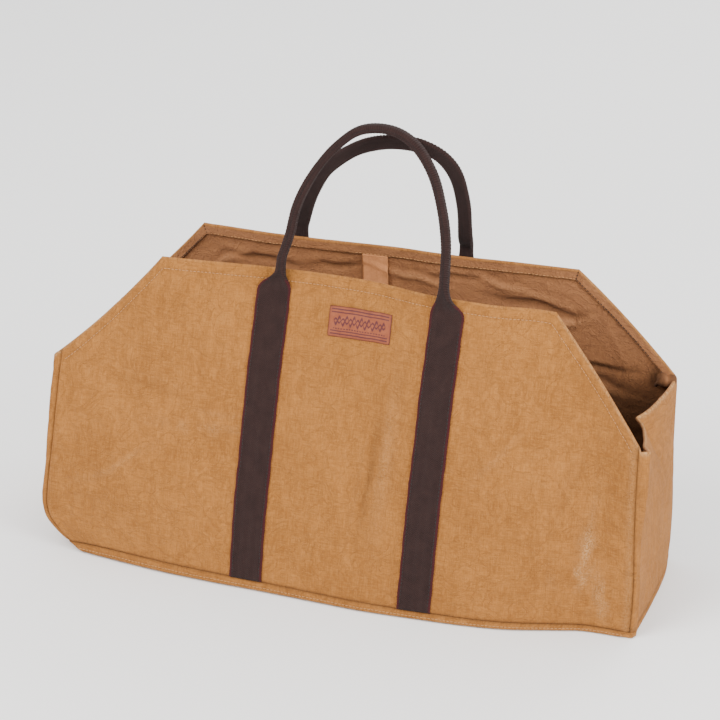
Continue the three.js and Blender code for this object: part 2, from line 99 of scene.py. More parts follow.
FRONT, REAR = -1, 1
LEFT, RIGHT = -1, 1
FLANGE = {LEFT: 1.0, RIGHT: 8.0}
BODY_HALF = BODY_LENGTH / 2
HEM_HALF = {FRONT: 223.5, REAR: 218.0}
FOLD_THICKNESS = CLOTH + LAY_GAP + HEM_THICKNESS
ROLL = FOLD_THICKNESS / 2

# Where each panel stands out at its foot: shares of half the body length and half the base depth.
BASE_LINE = {
    FRONT: [
        (-1, 1.24), (-0.8, 1.31), (-0.5, 1.4), (-0.2, 1.42), (0.12, 1.45), (0.33, 1.41),
        (0.49, 1.36), (0.61, 1.28), (0.76, 1.11), (0.84, 1.02), (1, 1),
    ],
    REAR: [(-1, 1), (-0.7, 1.1), (-0.2, 1.22), (0.3, 1.2), (0.75, 1.08), (1, 1)],
}

# Where each panel stands out at its hem: share of half the hem, share of half the mouth depth.
MOUTH_LINE = {
    FRONT: [
        (-1, 1), (-0.85, 0.95), (-0.47, 0.78), (-0.2, 0.73), (0.02, 0.75), (0.18, 0.84),
        (0.36, 0.99), (0.55, 1.04), (0.72, 1.04), (0.9, 0.94), (1, 0.95),
    ],
    REAR: [(-1, 0.85), (-0.5, 0.82), (0, 0.95), (0.42, 0.97), (0.7, 1.06), (1, 1.12)],
}

# Reach of the ends past half the body length, at shares of the gusset height.
END_LINE = {
    LEFT: [
        (0.03, -0.078), (0.085, -0.028), (0.145, 0.01), (0.2, 0.026), (0.27, 0.031),
        (0.62, 0.013), (1, 0.001),
    ],
    RIGHT: [
        (0.03, 0.005), (0.085, 0.006), (0.145, 0.007), (0.2, 0.007), (0.27, 0.006),
        (0.62, -0.007), (1, -0.013),
    ],
}

# Broad soft folds: side, x, z, turn in degrees, length, width, depth, as shares of the sizes above.
FOLDS = [
    (FRONT, 0.1, 0.5, 86, 0.6, 0.11, -0.016),
    (FRONT, -0.04, 0.55, 96, 0.55, 0.09, 0.01),
    (FRONT, -0.55, 0.62, -9, 0.45, 0.1, -0.012),
    (FRONT, -0.72, 0.3, 38, 0.35, 0.12, 0.016),
    (FRONT, 0.55, 0.6, 62, 0.4, 0.12, 0.014),
    (FRONT, 0.86, 0.34, 88, 0.45, 0.1, -0.03),
    (REAR, -0.22, 0.89, 3, 0.35, 0.05, 0.018),
    (REAR, 0.42, 0.85, -6, 0.3, 0.06, 0.014),
    (REAR, 0.74, 0.5, -12, 0.3, 0.08, -0.022),
    (REAR, 0.62, 0.7, 24, 0.28, 0.07, 0.018),
    (REAR, -0.6, 0.45, 55, 0.4, 0.12, 0.02),
]

# Creases pressed into the cloth: side, x, z, turn in degrees, length, width and depth.
CREASES = [
    (REAR, -58, 322, 6, 38, 3.5, 1.6),
    (REAR, 32, 318, -10, 52, 4.0, -1.8),
    (REAR, 78, 326, 8, 44, 3.5, 1.7),
    (REAR, 132, 322, -14, 40, 4.0, -1.5),
    (REAR, 171, 300, -8, 62, 5.0, 2.4),
    (REAR, 205, 284, 11, 46, 4.5, -2.0),
    (REAR, 246, 232, 3, 52, 3.0, 1.6),
    (REAR, 232, 205, -6, 64, 6.0, -2.2),
    (REAR, -150, 318, -3, 60, 4.0, 1.5),
    (REAR, -196, 306, 34, 34, 4.0, -1.4),
    (FRONT, -212, 212, -12, 74, 5.0, -1.0),
    (FRONT, -150, 196, -6, 64, 4.0, 0.8),
    (FRONT, -252, 122, 35, 60, 5.0, 1.0),
    (FRONT, 38, 148, 84, 92, 6.0, -1.3),
    (FRONT, 54, 176, 88, 110, 8.0, 1.2),
    (FRONT, 178, 196, 52, 48, 4.0, 0.8),
    (FRONT, 262, 172, 68, 60, 5.0, -0.9),
    (FRONT, 286, 118, 84, 70, 5.0, 1.3),
    (FRONT, -4, 300, 88, 40, 5.0, -0.8),
]

# Pale scuffs on the front: strength, x, z, width, height, seed.
SCUFFS = [
    (0.5, 283, 96, 9, 26, 3),
    (0.55, 271, 66, 20, 12, 5),
    (0.4, 300, 40, 10, 26, 7),
    (0.2, -150, 175, 60, 8, 9),
]

# Folding of a strap into a handle, from the foot of the neck to the hem.
NECK_FOLD = [
    (0, 0), (0.25, 0.01), (0.36, 0.08), (0.45, 0.2), (0.53, 0.34),
    (0.61, 0.51), (0.7, 0.71), (0.81, 0.88), (0.9, 0.95), (1, 1),
]

# Middle of each handle: shares of half the strap spacing, half the mouth depth and the rise.
LOOP = {
    FRONT: [
        (-0.86, -0.75, 0.25), (-0.81, -0.63, 0.44), (-0.71, -0.52, 0.6), (-0.59, -0.42, 0.73),
        (-0.42, -0.33, 0.86), (-0.21, -0.25, 0.965), (0, -0.22, 1), (0.24, -0.22, 0.99),
        (0.47, -0.28, 0.92), (0.69, -0.39, 0.76), (0.84, -0.55, 0.55), (0.93, -0.7, 0.33),
    ],
    REAR: [
        (-0.85, 0.72, 0.22), (-0.71, 0.52, 0.42), (-0.55, 0.37, 0.58), (-0.33, 0.23, 0.71),
        (-0.08, 0.14, 0.81), (0.17, 0.09, 0.865), (0.42, 0.06, 0.885), (0.63, 0.08, 0.87),
        (0.83, 0.14, 0.81), (0.97, 0.25, 0.695), (1.045, 0.48, 0.46), (1.04, 0.77, 0.17),
    ],
}

# Share of the neck's height by which the front right neck starts its fold later.
NECK_LATE = 0.19

# Bottom's rim from the seam down: share of the rounding set in, share of the seam's height.
RIM = [(0, 1), (-0.12, 0.6), (-0.25, 0.2), (0.45, 0)]

# Relief of washed canvas: gain, cell width and height, push of the warp in x and z, seed and
# sharpness, which is 0 for plain noise.
RELIEF = [
    (1.5, 92, 74, 0, 0, 0, 0),
    (0.95, 37, 31, 1, 0, 1, 0),
    (1.1, 62, 44, 2, 1, 2, 9),
    (-0.95, 48, 58, -1, 2, 3, 10),
    (0.34, 17, 13, 1, -1, 4, 5),
]

# Rows of a panel below its top edge, in millimetres of the straight hem, and the facing's lifts.
OUTER_DROPS = [30, 26, 22, 18, 15.5, 14.2, 13.2, 12.4, 11.6, 10.5, 8.5, 6, 3.5]
INNER_DROPS = [30, 26, 22, 18, 15, 13.8, 13.25, 13.0, 12.8, 12.3, 9.5, 6, 3.5]
INNER_LIFTS = [0, 0, 0, 0, 0, 0, -0.1, -1.0, -1.7, -1.9, -1.9, -1.9, -1.9]
ROLL_TURNS = [0, 30, 60, 88]
PANEL_ROWS = 100

# Rows at a panel's foot, as shares of its height, and how far each dips into the bottom seam.
FOOT_ROWS = [0, 0.004, 0.009, 0.016]
FOOT_DIPS = [-0.9, -0.35, -0.08, 0]
END_FOOT_DIPS = [-0.8, -0.3, -0.05]
# Shift of the inner faces' flat places, so that their weave differs from the outer one.
INNER_PLACE = 1000
# Shift of the picture, as shares of its width.
PICTURE_SHIFT = (-8 / 720, 31 / 720)
# Half the floor's width, and its drop below the carrier.
FLOOR_HALF = 6000.0
FLOOR_DROP = 0.2
# Soft lights: name, place in metres, width, name of the power, colour.
LIGHTS = [
    ("key_light", (-1.5, -2.3, 2.5), 2.2, "key_power", (1.0, 0.985, 0.965)),
    ("fill_light", (2.6, -1.2, 1.3), 1.8, "fill_power", (1.0, 0.985, 0.96)),
    ("back_light", (0.7, 2.8, 2.1), 2.2, "back_power", (1.0, 0.99, 0.97)),
]
# Point that the lights face, in metres.
LIT_POINT = Vector((0, 0, 0.2))
# One millimetre in metres.
MM = 0.001
# Shares of a panel's height between which its normals are taken.
FACE_RANGE = (0.004, 0.996)
# How far a hidden edge reaches into the cloth beside it.
TUCK = 1.4
# How far cloth dips at an end seam.
SEAM_DIP = 0.9
# Extra thickness of the ends' rolled top, and the shares of the height of the rows below it.
END_HEM = 1.2
END_TOP_ROWS = [0.945, 0.955, 0.965, 0.975, 0.985, 0.993]
# Rows of hem stitches, as shares of the hem's width.
OUTER_STITCH = 0.94
INNER_STITCH = 0.88
# Sections of a stitch: place along it, thickness, rise. And the sides of its thread.
STITCH = [
    (-0.5, 0.25, -0.75), (-0.42, 0.8, -0.2), (-0.2, 1.0, 0.25),
    (0.2, 1.0, 0.25), (0.42, 0.8, -0.2), (0.5, 0.25, -0.75),
]
THREAD_SIDES = 6
# Place along the body from which the bottom's rim lies flush with the right end.
FLUSH_FROM = 322.0

VECTOR, FLOAT, COLOUR = "NodeSocketVector", "NodeSocketFloat", "NodeSocketColor"


def mix(a, b, t):
    return a + (b - a) * t


def smooth(t):
    t = np.clip(t, 0, 1)
    return t * t * (3 - 2 * t)


def hill(x, width):
    """Smooth hump of height 1."""
    return np.exp(-((x / width) ** 2))


def turned(dx, dz, degrees):
    """Distances along and across a line at an angle."""
    a = math.radians(degrees)
    return dx * math.cos(a) + dz * math.sin(a), dz * math.cos(a) - dx * math.sin(a)


def path_run(points):
    """Length run along a path up to each of its points."""
    return np.concatenate([[0], np.cumsum(np.linalg.norm(np.diff(points, axis=0), axis=1))])


def along_path(at, run, points):
    """Points at given lengths along a path."""
    return np.stack([np.interp(at, run, points[:, k]) for k in range(3)], -1)


def patch_grid(s, h):
    """Shares across and along a patch, as two grids."""
    return np.meshgrid(s, h, indexing="ij")


def fine(name):
    """A fine size set in the sidebar, in metres."""
    return getattr(bpy.context.scene.carrier_sizes, name)


def tone(name):
    """A colour set in the sidebar."""
    return (*getattr(bpy.context.scene.carrier_colours, name), 1.0)


def shade(colour, amount):
    """A colour made darker."""
    return (*(amount * c for c in colour[:3]), 1.0)


def follow(rows, at):
    """Smooth value through a table's rows, held level beyond its ends."""
    x = np.array([r[0] for r in rows], float)
    y = np.array([r[1] for r in rows], float)
    before = np.maximum(np.arange(len(x)) - 1, 0)
    after = np.minimum(np.arange(len(x)) + 1, len(x) - 1)
    slope = (y[after] - y[before]) / (x[after] - x[before])
    q = np.clip(np.asarray(at, float), x[0], x[-1])
    i = np.clip(np.searchsorted(x, q, side="right") - 1, 0, len(x) - 2)
    span = x[i + 1] - x[i]
    t = (q - x[i]) / span
    t2, t3 = t * t, t * t * t
    return (
        (2 * t3 - 3 * t2 + 1) * y[i]
        + (t3 - 2 * t2 + t) * span * slope[i]
        + (3 * t2 - 2 * t3) * y[i + 1]
        + (t3 - t2) * span * slope[i + 1]
    )


def lattice(ix, iy, seed):
    n = np.sin(ix * 127.1 + iy * 311.7 + seed * 74.7) * 43758.5453
    return (n - np.floor(n)) * 2 - 1


def noise(x, y, seed):
    """Smooth noise from -1 to 1 with cells of size 1."""
    ix, iy = np.floor(x), np.floor(y)
    u, v = smooth(x - ix), smooth(y - iy)
    low = mix(lattice(ix, iy, seed), lattice(ix + 1, iy, seed), u)
    high = mix(lattice(ix, iy + 1, seed), lattice(ix + 1, iy + 1, seed), u)
    return mix(low, high, v)


def ridge(x, y, seed, sharp):
    """Thin raised lines between cells of size 1."""
    return (1 - np.abs(noise(x, y, seed))) ** sharp


def chamfer_share(side, c):
    return np.clip((np.abs(c) - HEM_HALF[side]) / (BODY_HALF - HEM_HALF[side]), 0, 1)


def top_height(side, c):
    s = chamfer_share(side, c)
    bow = np.where(c < 0, -LEFT_CHAMFER_SAG, RIGHT_CHAMFER_RISE)
    drop = np.where((c > 0) & (side == FRONT), FRONT_RIGHT_DROP, 0.0)
    slump = REAR_LEFT_SLUMP * s**2 * (c < 0) * (side == REAR)
    return mix(BODY_HEIGHT, GUSSET_HEIGHT - drop, s) + bow * 4 * s * (1 - s) - slump


def seam_height(side, c):
    if side == REAR:
        return np.full_like(np.asarray(c, float), REAR_SEAM)
    dip = LEFT_SEAM_DIP * np.clip(-c / BODY_HALF, 0, 1) ** 8
    return mix(FRONT_SEAM[0], FRONT_SEAM[1], (c + BODY_HALF) / BODY_LENGTH) - dip


def panel_share(side, c, z):
    """Share of a height from a panel's foot to its top edge."""
    foot = seam_height(side, c)
    return (z - foot) / (top_height(side, c) - foot)


def fold_depth(side, c, z):
    depth = 0.0
    for of_side, x, height, turn, length, width, deep in FOLDS:
        if of_side != side:
            continue
        along, over = turned(c - x * BODY_HALF, z - height * BODY_HEIGHT, turn)
        spread = (along / (length * BODY_HALF)) ** 2 + (over / (width * BODY_HEIGHT)) ** 2
        depth = depth + deep * BASE_DEPTH * np.exp(-2 * spread)
    return depth


def panel_point(side, c, v):
    """Point of a panel's outer face at column c and share v from its foot to its top edge."""
    c, v = np.broadcast_arrays(np.asarray(c, float), np.asarray(v, float))
    s = chamfer_share(side, c)
    z = mix(seam_height(side, c), top_height(side, c), v)
    low = follow(BASE_LINE[side], c / BODY_HALF) * BASE_DEPTH / 2
    hem = follow(MOUTH_LINE[side], c / HEM_HALF[side]) * MOUTH_DEPTH / 2
    high = mix(hem, GUSSET_TOP_DEPTH / 2 - side * GUSSET_TOP_SHIFT, s)
    lean = 1.3 + 1.1 * (c / BODY_HALF) ** 2
    edge = np.sin(np.pi * np.clip(v, 0, 1)) * (1 - s**4)
    y = low + (high - low) * np.clip(v, 0, None) ** lean + fold_depth(side, c, z) * edge
    reach = [follow(END_LINE[end], z / GUSSET_HEIGHT) for end in (LEFT, RIGHT)]
    reach = np.where(c < 0, *reach)
    return np.stack([c + np.sign(c) * s * reach * BODY_HALF, side * y, z], -1)


def unit(a):
    return a / np.maximum(np.linalg.norm(a, axis=-1, keepdims=True), 1e-9)


def panel_frame(side, c, v):
    """Outward normal and rising direction of a panel's outer face."""
    step = 0.004
    across = panel_point(side, c + 1.5, v) - panel_point(side, c - 1.5, v)
    up = panel_point(side, c, v + step) - panel_point(side, c, v - step)
    rising = unit(up)
    return unit(np.cross(across, rising)) * -side, rising


def edge_stretch(end, v):
    step = 0.01
    lower = panel_point(FRONT, end * BODY_HALF, np.maximum(v - step, 0))
    upper = panel_point(FRONT, end * BODY_HALF, np.minimum(v + step, 1))
    return np.hypot(1, (upper[..., 0] - lower[..., 0]) / (upper[..., 2] - lower[..., 2]))


def wrap_width(end, v):
    width = mix(LEFT_WRAP[0], LEFT_WRAP[1], v) if end == LEFT else RIGHT_WRAP
    return width * edge_stretch(end, v)


def gusset_point(end, share, v):
    front_corner = panel_point(FRONT, end * BODY_HALF, v)
    rear_corner = panel_point(REAR, end * BODY_HALF, v)
    low = front_corner[..., 1] + CORNER_RADIUS
    high = rear_corner[..., 1] - CORNER_RADIUS
    z = mix(front_corner[..., 2], rear_corner[..., 2], (share + 1) / 2)
    rise = np.clip((z - GUSSET_HEIGHT + PINCH_HEIGHT) / PINCH_HEIGHT, 0, 1)
    crease = (low + high) / 2 + mix(0.22, -0.1, rise) * (high - low)
    y = np.where(share < 0, mix(low, crease, 1 + share), mix(crease, high, share))
    fade = np.where(share < 0, 7.5, 4.5)
    edge = 1 - np.abs(share) ** 3
    pinch = PINCH_DEPTH * rise**1.4 * np.exp(-fade * np.abs(y - crease) / BASE_DEPTH) * edge
    belly = GUSSET_BELLY * (1 - share * share) * (1 - z / GUSSET_HEIGHT)
    from_seam = y - low
    flange = FLANGE[end] * smooth(from_seam / 4) * hill(np.maximum(from_seam - 4, 0), 8)
    flange = flange * (0.25 + 0.75 * smooth((z - 90) / 110))
    x = mix(front_corner[..., 0], rear_corner[..., 0], (share + 1) / 2)
    return np.stack([x + end * (belly - pinch + flange), y, z], -1)


def crease_relief(side, c, z):
    """Relief of the pressed creases alone."""
    relief = np.zeros(np.shape(c))
    for of_side, x, height, turn, length, width, deep in CREASES:
        if of_side != side:
            continue
        bend = 0.5 * width * np.sin((c - x) / length * 5.0 + height)
        along, over = turned(c - x, z - height, turn)
        along, over = along / length, (over + bend) / width
        deep = deep * (2.2 if side == REAR else 1.3)
        across = hill(over, 1) - 0.4 * hill(over - 1.6, 1)
        relief = relief + deep * np.exp(-(along**2) * 2.2) * across
    return relief


def wrinkle(side, c, z):
    """Small relief of washed canvas, outward from the face, in millimetres."""
    seed = 3 if side == FRONT else 17
    warp = 14 * noise(c / 70, z / 60, seed + 9)
    relief = crease_relief(side, c, z)
    for gain, wide, tall, push_x, push_z, step, sharp in RELIEF:
        cell = ((c + push_x * warp) / wide, (z + push_z * warp) / tall, seed + step)
        relief = relief + gain * (ridge(*cell, sharp) if sharp else noise(*cell))
    return relief * fine("wrinkle_depth") / MM


def pucker(along, distance, seed):
    """Ripples that a row of stitches draws up beside it."""
    ripple = np.sin(along / 6.2 * math.pi + 2.5 * noise(along / 31, distance * 0, seed))
    return 0.34 * ripple * hill(distance, 7.0) - 0.4 * hill(distance, 1.3)


def chamfer_hem(side):
    """Slope of a chamfer and the upright height of its hem."""
    slope = (BODY_HEIGHT - GUSSET_HEIGHT) / (BODY_HALF - HEM_HALF[side])
    return slope, SIDE_HEM_WIDTH * math.hypot(1, slope)


def mitre_inset(side):
    """How far a mitre's lower end lies inward of the hem's corner."""
    slope, drop = chamfer_hem(side)
    return (drop - HEM_WIDTH) / slope


def hem_low(side, c):
    """Height of the hem facing's lower edge, which follows the straight hem and both chamfers."""
    slope, drop = chamfer_hem(side)
    beyond = np.minimum(np.abs(c) - HEM_HALF[side], 0)
    return np.minimum(BODY_HEIGHT - HEM_WIDTH, top_height(side, c) - slope * beyond - drop)


def hem_scale(side, c):
    return (top_height(side, c) - hem_low(side, c)) / HEM_WIDTH


def face_lift(side, c, z):
    """Relief of a panel, with the pull of its hem stitches and the thick cloth by its end seams."""
    top = top_height(side, c)
    below = (top - z) / hem_scale(side, c)
    lift = wrinkle(side, c, z) * smooth((z - seam_height(side, c)) / 40)
    lift = lift * (0.35 + 0.65 * smooth(below / 22))
    lift = lift + pucker(c, below - HEM_WIDTH * OUTER_STITCH, 5 + side)
    v = np.clip(panel_share(side, c, z), 0, 1)
    wrap = np.where(c < 0, wrap_width(LEFT, v), wrap_width(RIGHT, v))
    to_seam = BODY_HALF - np.abs(c) - wrap
    band = smooth((9 - to_seam) / 2.5) * smooth((GUSSET_HEIGHT - z) / 30)
    return lift * smooth(to_seam / 12) + 0.7 * band * smooth(to_seam / 1.5)


def on_panel(side, c, z, lift):
    """Point lying at a height above the wrinkled face of a panel."""
    c, z = np.broadcast_arrays(np.asarray(c, float), np.asarray(z, float))
    v = panel_share(side, c, z)
    normal, _ = panel_frame(side, c, v)
    return panel_point(side, c, v) + normal * (face_lift(side, c, z) + lift)[..., None]


def strap_centre(side, end, v):
    lean = FRONT_STRAP_LEAN if side == FRONT and end == RIGHT else 0.0
    return STRAP_MID[side] + end * STRAP_SPACING / 2 + lean * v


def make_mesh(name, points, faces, places=None, marks=None):
    """Mesh object from points in millimetres, with flat places as UVs and marks as attributes."""
    mesh = bpy.data.meshes.new(name)
    mesh.from_pydata((points * MM).tolist(), [], faces)
    mesh.polygons.foreach_set("use_smooth", [True] * len(mesh.polygons))
    if places is not None:
        layer = mesh.uv_layers.new(name="cloth_place")
        index = np.empty(len(mesh.loops), dtype=np.int32)
        mesh.loops.foreach_get("vertex_index", index)
        layer.data.foreach_set("uv", (places[index] * MM).astype(np.float32).ravel())
    for key, values in (marks or {}).items():
        data = mesh.attributes.new(name=key, type="FLOAT", domain="POINT")
        data.data.foreach_set("value", np.asarray(values, dtype=np.float32).ravel())
    mesh.update()
    piece = bpy.data.objects.new(name, mesh)
    bpy.context.scene.collection.objects.link(piece)
    return piece


def strip_faces(columns, rows, start=0, closed=False):
    i = np.arange(columns if closed else columns - 1)[:, None]
    j = np.arange(rows - 1)[None, :]
    a = start + i * rows + j
    b = start + ((i + 1) % columns) * rows + j
    return np.stack([a, b, b + 1, a + 1], -1).reshape(-1, 4)


def tube_faces(start, rings, sides):
    """Faces of a closed tube made of rings of points."""
    faces = []
    for i in range(start, start + (rings - 1) * sides, sides):
        for k in range(sides):
            n = (k + 1) % sides
            faces.append((i + k, i + sides + k, i + sides + n, i + n))
    last = start + (rings - 1) * sides
    return [*faces, tuple(range(start, start + sides)), tuple(range(last, last + sides))[::-1]]


def wall_mesh(name, outer, inner, places, marks, closed=False):
    """Closed wall of cloth between two grids, columns first, joined along all its edges."""
    columns, rows = outer.shape[:2]
    far = columns * rows
    outside, inside = (strip_faces(columns, rows, start, closed) for start in (0, far))
    faces = [outside, inside[:, ::-1]]
    i = np.arange(columns if closed else columns - 1)
    n = (i + 1) % columns
    foot = np.stack([i * rows, far + i * rows, far + n * rows, n * rows], -1)
    top = np.stack([i * rows, n * rows, far + n * rows, far + i * rows], -1) + rows - 1
    faces += [foot, top]
    if not closed:
        j = np.arange(rows - 1)
        e = (columns - 1) * rows
        faces.append(np.stack([j, j + 1, far + j + 1, far + j], -1))
        faces.append(np.stack([e + j, far + e + j, far + e + j + 1, e + j + 1], -1))
    points = np.concatenate([outer.reshape(-1, 3), inner.reshape(-1, 3)])
    flat = np.concatenate([places[0].reshape(-1, 2), places[1].reshape(-1, 2)])
    both = {key: np.concatenate([a.ravel(), b.ravel()]) for key, (a, b) in marks.items()}
    piece = make_mesh(name, points, np.concatenate(faces).tolist(), flat, both)
    turn_out(piece)
    return piece


def turn_out(piece):
    """Turns every face outward if the mesh came out with its inside showing."""
    mesh = piece.data
    mesh.calc_loop_triangles()
    co = np.empty(len(mesh.vertices) * 3, dtype=np.float32)
    mesh.vertices.foreach_get("co", co)
    tri = np.empty(len(mesh.loop_triangles) * 3, dtype=np.int32)
    mesh.loop_triangles.foreach_get("vertices", tri)
    p = co.reshape(-1, 3).astype(float)[tri.reshape(-1, 3)]
    if np.einsum("ij,ij->i", p[:, 0], np.cross(p[:, 1], p[:, 2])).sum() < 0:
        mesh.flip_normals()


def panel_columns(side, left_v, right_v):
    """Column places of a panel, from one end seam to the other, at the shares of its rows there."""
    step = fine("mesh_step") / MM
    middle = np.linspace(-HEM_HALF[side], HEM_HALF[side], int(2 * HEM_HALF[side] / step))
    count = int((BODY_HALF - HEM_HALF[side]) / step) + 1
    k = np.linspace(0, 1, count + 1)[1:, None]
    k = 1 - (1 - k) ** 1.15
    left = -mix(HEM_HALF[side], BODY_HALF - wrap_width(LEFT, left_v), k)[::-1]
    right = mix(HEM_HALF[side], BODY_HALF - wrap_width(RIGHT, right_v), k)
    return np.concatenate([left, np.repeat(middle[:, None], len(left_v), 1), right])


def panel_piece(name, side):
    """A panel with its top edge turned in over a facing, as one folded sheet."""
    share = np.linspace(0, 1, PANEL_ROWS, endpoint=False)
    share[: len(FOOT_ROWS)] = FOOT_ROWS
    first_roll = PANEL_ROWS + len(OUTER_DROPS)
    rows = first_roll + len(ROLL_TURNS)

    def level(c, drop_list):
        top, foot, scale = top_height(side, c), seam_height(side, c), hem_scale(side, c)
        z = np.empty_like(c)
        head = top - drop_list[0] * scale
        z[:, :PANEL_ROWS] = mix(foot[:, :PANEL_ROWS] + SEAM_GAP / 2, head[:, :PANEL_ROWS], share)
        for k, d in enumerate(drop_list, PANEL_ROWS):
            z[:, k] = (top - d * scale)[:, k]
        z[:, first_roll:] = top[:, first_roll:] - 0.01
        return z

    def placed(drop_list):
        ends = [np.linspace(0, 1, rows)] * 2
        for _ in range(4):
            c = panel_columns(side, ends[0], ends[1])
            z = level(c, drop_list)
            ends = panel_share(side, c, z)[[0, -1]]
        return c, z

    c_out, z_out = placed(OUTER_DROPS)
    c_in, z_in = placed(INNER_DROPS)
    z_in[:, 0] = z_out[:, 0] - TUCK
    end_dip = np.zeros((c_out.shape[0], 1))
    end_dip[[0, -1]], end_dip[[1, -2]] = -SEAM_DIP, -0.2
    foot_dip = np.zeros((1, rows))
    foot_dip[0, : len(FOOT_DIPS)] = FOOT_DIPS
    grids = []
    for c, z, inner in ((c_out, z_out, False), (c_in, z_in, True)):
        v = panel_share(side, c, z)
        normal, rising = panel_frame(side, c, np.clip(v, *FACE_RANGE))
        base = panel_point(side, c, v) + normal * face_lift(side, c, z)[..., None]
        off = np.zeros_like(c)
        if inner:
            off[:] = -CLOTH
            off[:, PANEL_ROWS:first_roll] += np.array(INNER_LIFTS)
            off += 0.5 * noise(c / 24, z / 19, 41 + side) * (off < -CLOTH - 1)
        else:
            off += end_dip + foot_dip
        grid = base + normal * off[..., None]
        if inner:
            for edge, beside in ((-1, -4), (0, 3)):
                grid[edge] += unit(grid[edge] - grid[beside]) * TUCK
        for j, turn in enumerate(ROLL_TURNS, first_roll):
            a = math.radians(180 - turn if inner else turn)
            centre = base[:, j] - rising[:, j] * ROLL - normal[:, j] * ROLL
            grid[:, j] = centre + ROLL * (normal[:, j] * math.cos(a) + rising[:, j] * math.sin(a))
        grids.append(grid)
    marks = cloth_marks(side, (c_out, c_in), (z_out, z_in), first_roll)
    places = (np.stack([c_out, z_out], -1), np.stack([c_in + INNER_PLACE, z_in], -1))
    return wall_mesh(name, *grids, places, marks)


def cloth_marks(side, columns, heights, first_roll):
    """Faded, darkened and inner shares of a panel's outer and inner grids. The darkening is dust
    and painted shade at the seams, and painted shade in crease valleys, along the hem's stitch row,
    under the facing's edge, deep inside and beside the corner fold.
    """
    wear, soil = [], []
    for c, z, inner in zip(columns, heights, (False, True)):
        below = (top_height(side, c) - z) / hem_scale(side, c)
        to_end = BODY_HALF - np.abs(c)
        by_end = z < GUSSET_HEIGHT
        chamfer = smooth((np.abs(c) - HEM_HALF[side]) / 10)
        fade = (0.12 + 0.4 * chamfer) * hill(below, 2.2) * (0.6 + 0.4 * noise(c / 9, z / 9, 8))
        # Darker along the bottom and end seams: dust and painted shade in the seam grooves.
        dark = 0.6 * hill(z - seam_height(side, c), 2.2) + 0.5 * hill(to_end - 4, 2.4) * by_end
        # Crease valleys are darkened as painted shade. Crease ridges are lightened as wear.
        pressed = crease_relief(side, c, z)
        dark = dark + np.clip(pressed * 0.28 if inner else -pressed * 0.2, 0, 0.55)
        fade = fade + np.clip(-pressed * 0.1 if inner else pressed * 0.12, 0, 0.3)
        if inner:
            # Painted shadow line under the lower edge of the turned-in facing.
            dark = dark + 0.7 * hill(below - 13.5, 0.9) + 0.25 * hill(below - 15, 2.5)
            # Painted shade: the inner face darkens lower down and toward the right end, most of all
            # low at the right.
            deep_in_shade = smooth((335 - z) / 150) * smooth((c - 40) / 190)
            low_in_shade = smooth((240 - z) / 60) * smooth((c - 120) / 120)
            dark = dark + (0.36 * deep_in_shade + 0.6 * low_in_shade) * smooth((below - 14) / 6)
            if side == REAR:
                # Painted shadow on the rear panel's inner face, beside the loose corner fold.
                fold_shadow = hill(c - BODY_HALF + 27, 6) * hill(z - GUSSET_HEIGHT + 4, 13)
                dark = dark + 0.9 * fold_shadow
            fade = fade * 0.5
        else:
            # Painted shade along the hem's stitch row, where the facing's edge steps under the
            # cloth.
            dark = dark + 0.22 * hill(below - HEM_WIDTH * OUTER_STITCH, 1.1)
            if side == FRONT:
                for gain, *spot in SCUFFS:
                    fade = fade + gain * scuff(c, z, *spot)
                fade = fade + 0.2 * hill(to_end - 9, 4.0) * (c > 0) * by_end
                dark = dark + 0.5 * hill(c + 192, 2.2) * hill(z - 305, 2.4)
        wear.append(np.clip(fade, 0, 1))
        soil.append(np.clip(dark, 0, 1))
    inside = [np.zeros_like(c), np.ones_like(c)]
    inside[1][:, first_roll:] = 0.3
    return {"wear": wear, "soil": soil, "inside": inside}


def scuff(c, z, x, height, wide, tall, seed):
    """Broken patch of worn cloth."""
    broken = np.clip(0.5 + 1.1 * noise(c / 7.0, z / 12.0, seed), 0, 1)
    return hill(c - x, wide) * hill(z - height, tall) * broken


def grid_normals(points):
    across = np.gradient(points, axis=0)
    up = np.gradient(points, axis=1)
    return unit(np.cross(across, up))


def gusset_columns(end, v):
    """Columns round one end, from the front seam over both corners to the rear seam."""
    columns = []

    def corner(side):
        stretch = edge_stretch(end, v)
        out = []
        for t in (0, 0.35, 0.7):
            c = end * mix(BODY_HALF - wrap_width(end, v), BODY_HALF - CORNER_RADIUS * stretch, t)
            out.append(panel_point(side, c, v))
        a = panel_point(side, end * (BODY_HALF - CORNER_RADIUS * stretch), v)
        b = panel_point(side, end * BODY_HALF, v)
        d = gusset_point(end, np.full_like(v, side * 1.0), v)
        for t in (0, 0.2, 0.4, 0.6, 0.8):
            out.append((1 - t) ** 2 * a + 2 * t * (1 - t) * b + t * t * d)
        return out

    columns += corner(FRONT)
    shares = np.linspace(-1, 1, 85)
    shares = np.sign(shares) * np.abs(shares) ** 1.15
    for share in shares:
        columns.append(gusset_point(end, np.full_like(v, share), v))
    columns += corner(REAR)[::-1]
    return np.array(columns)


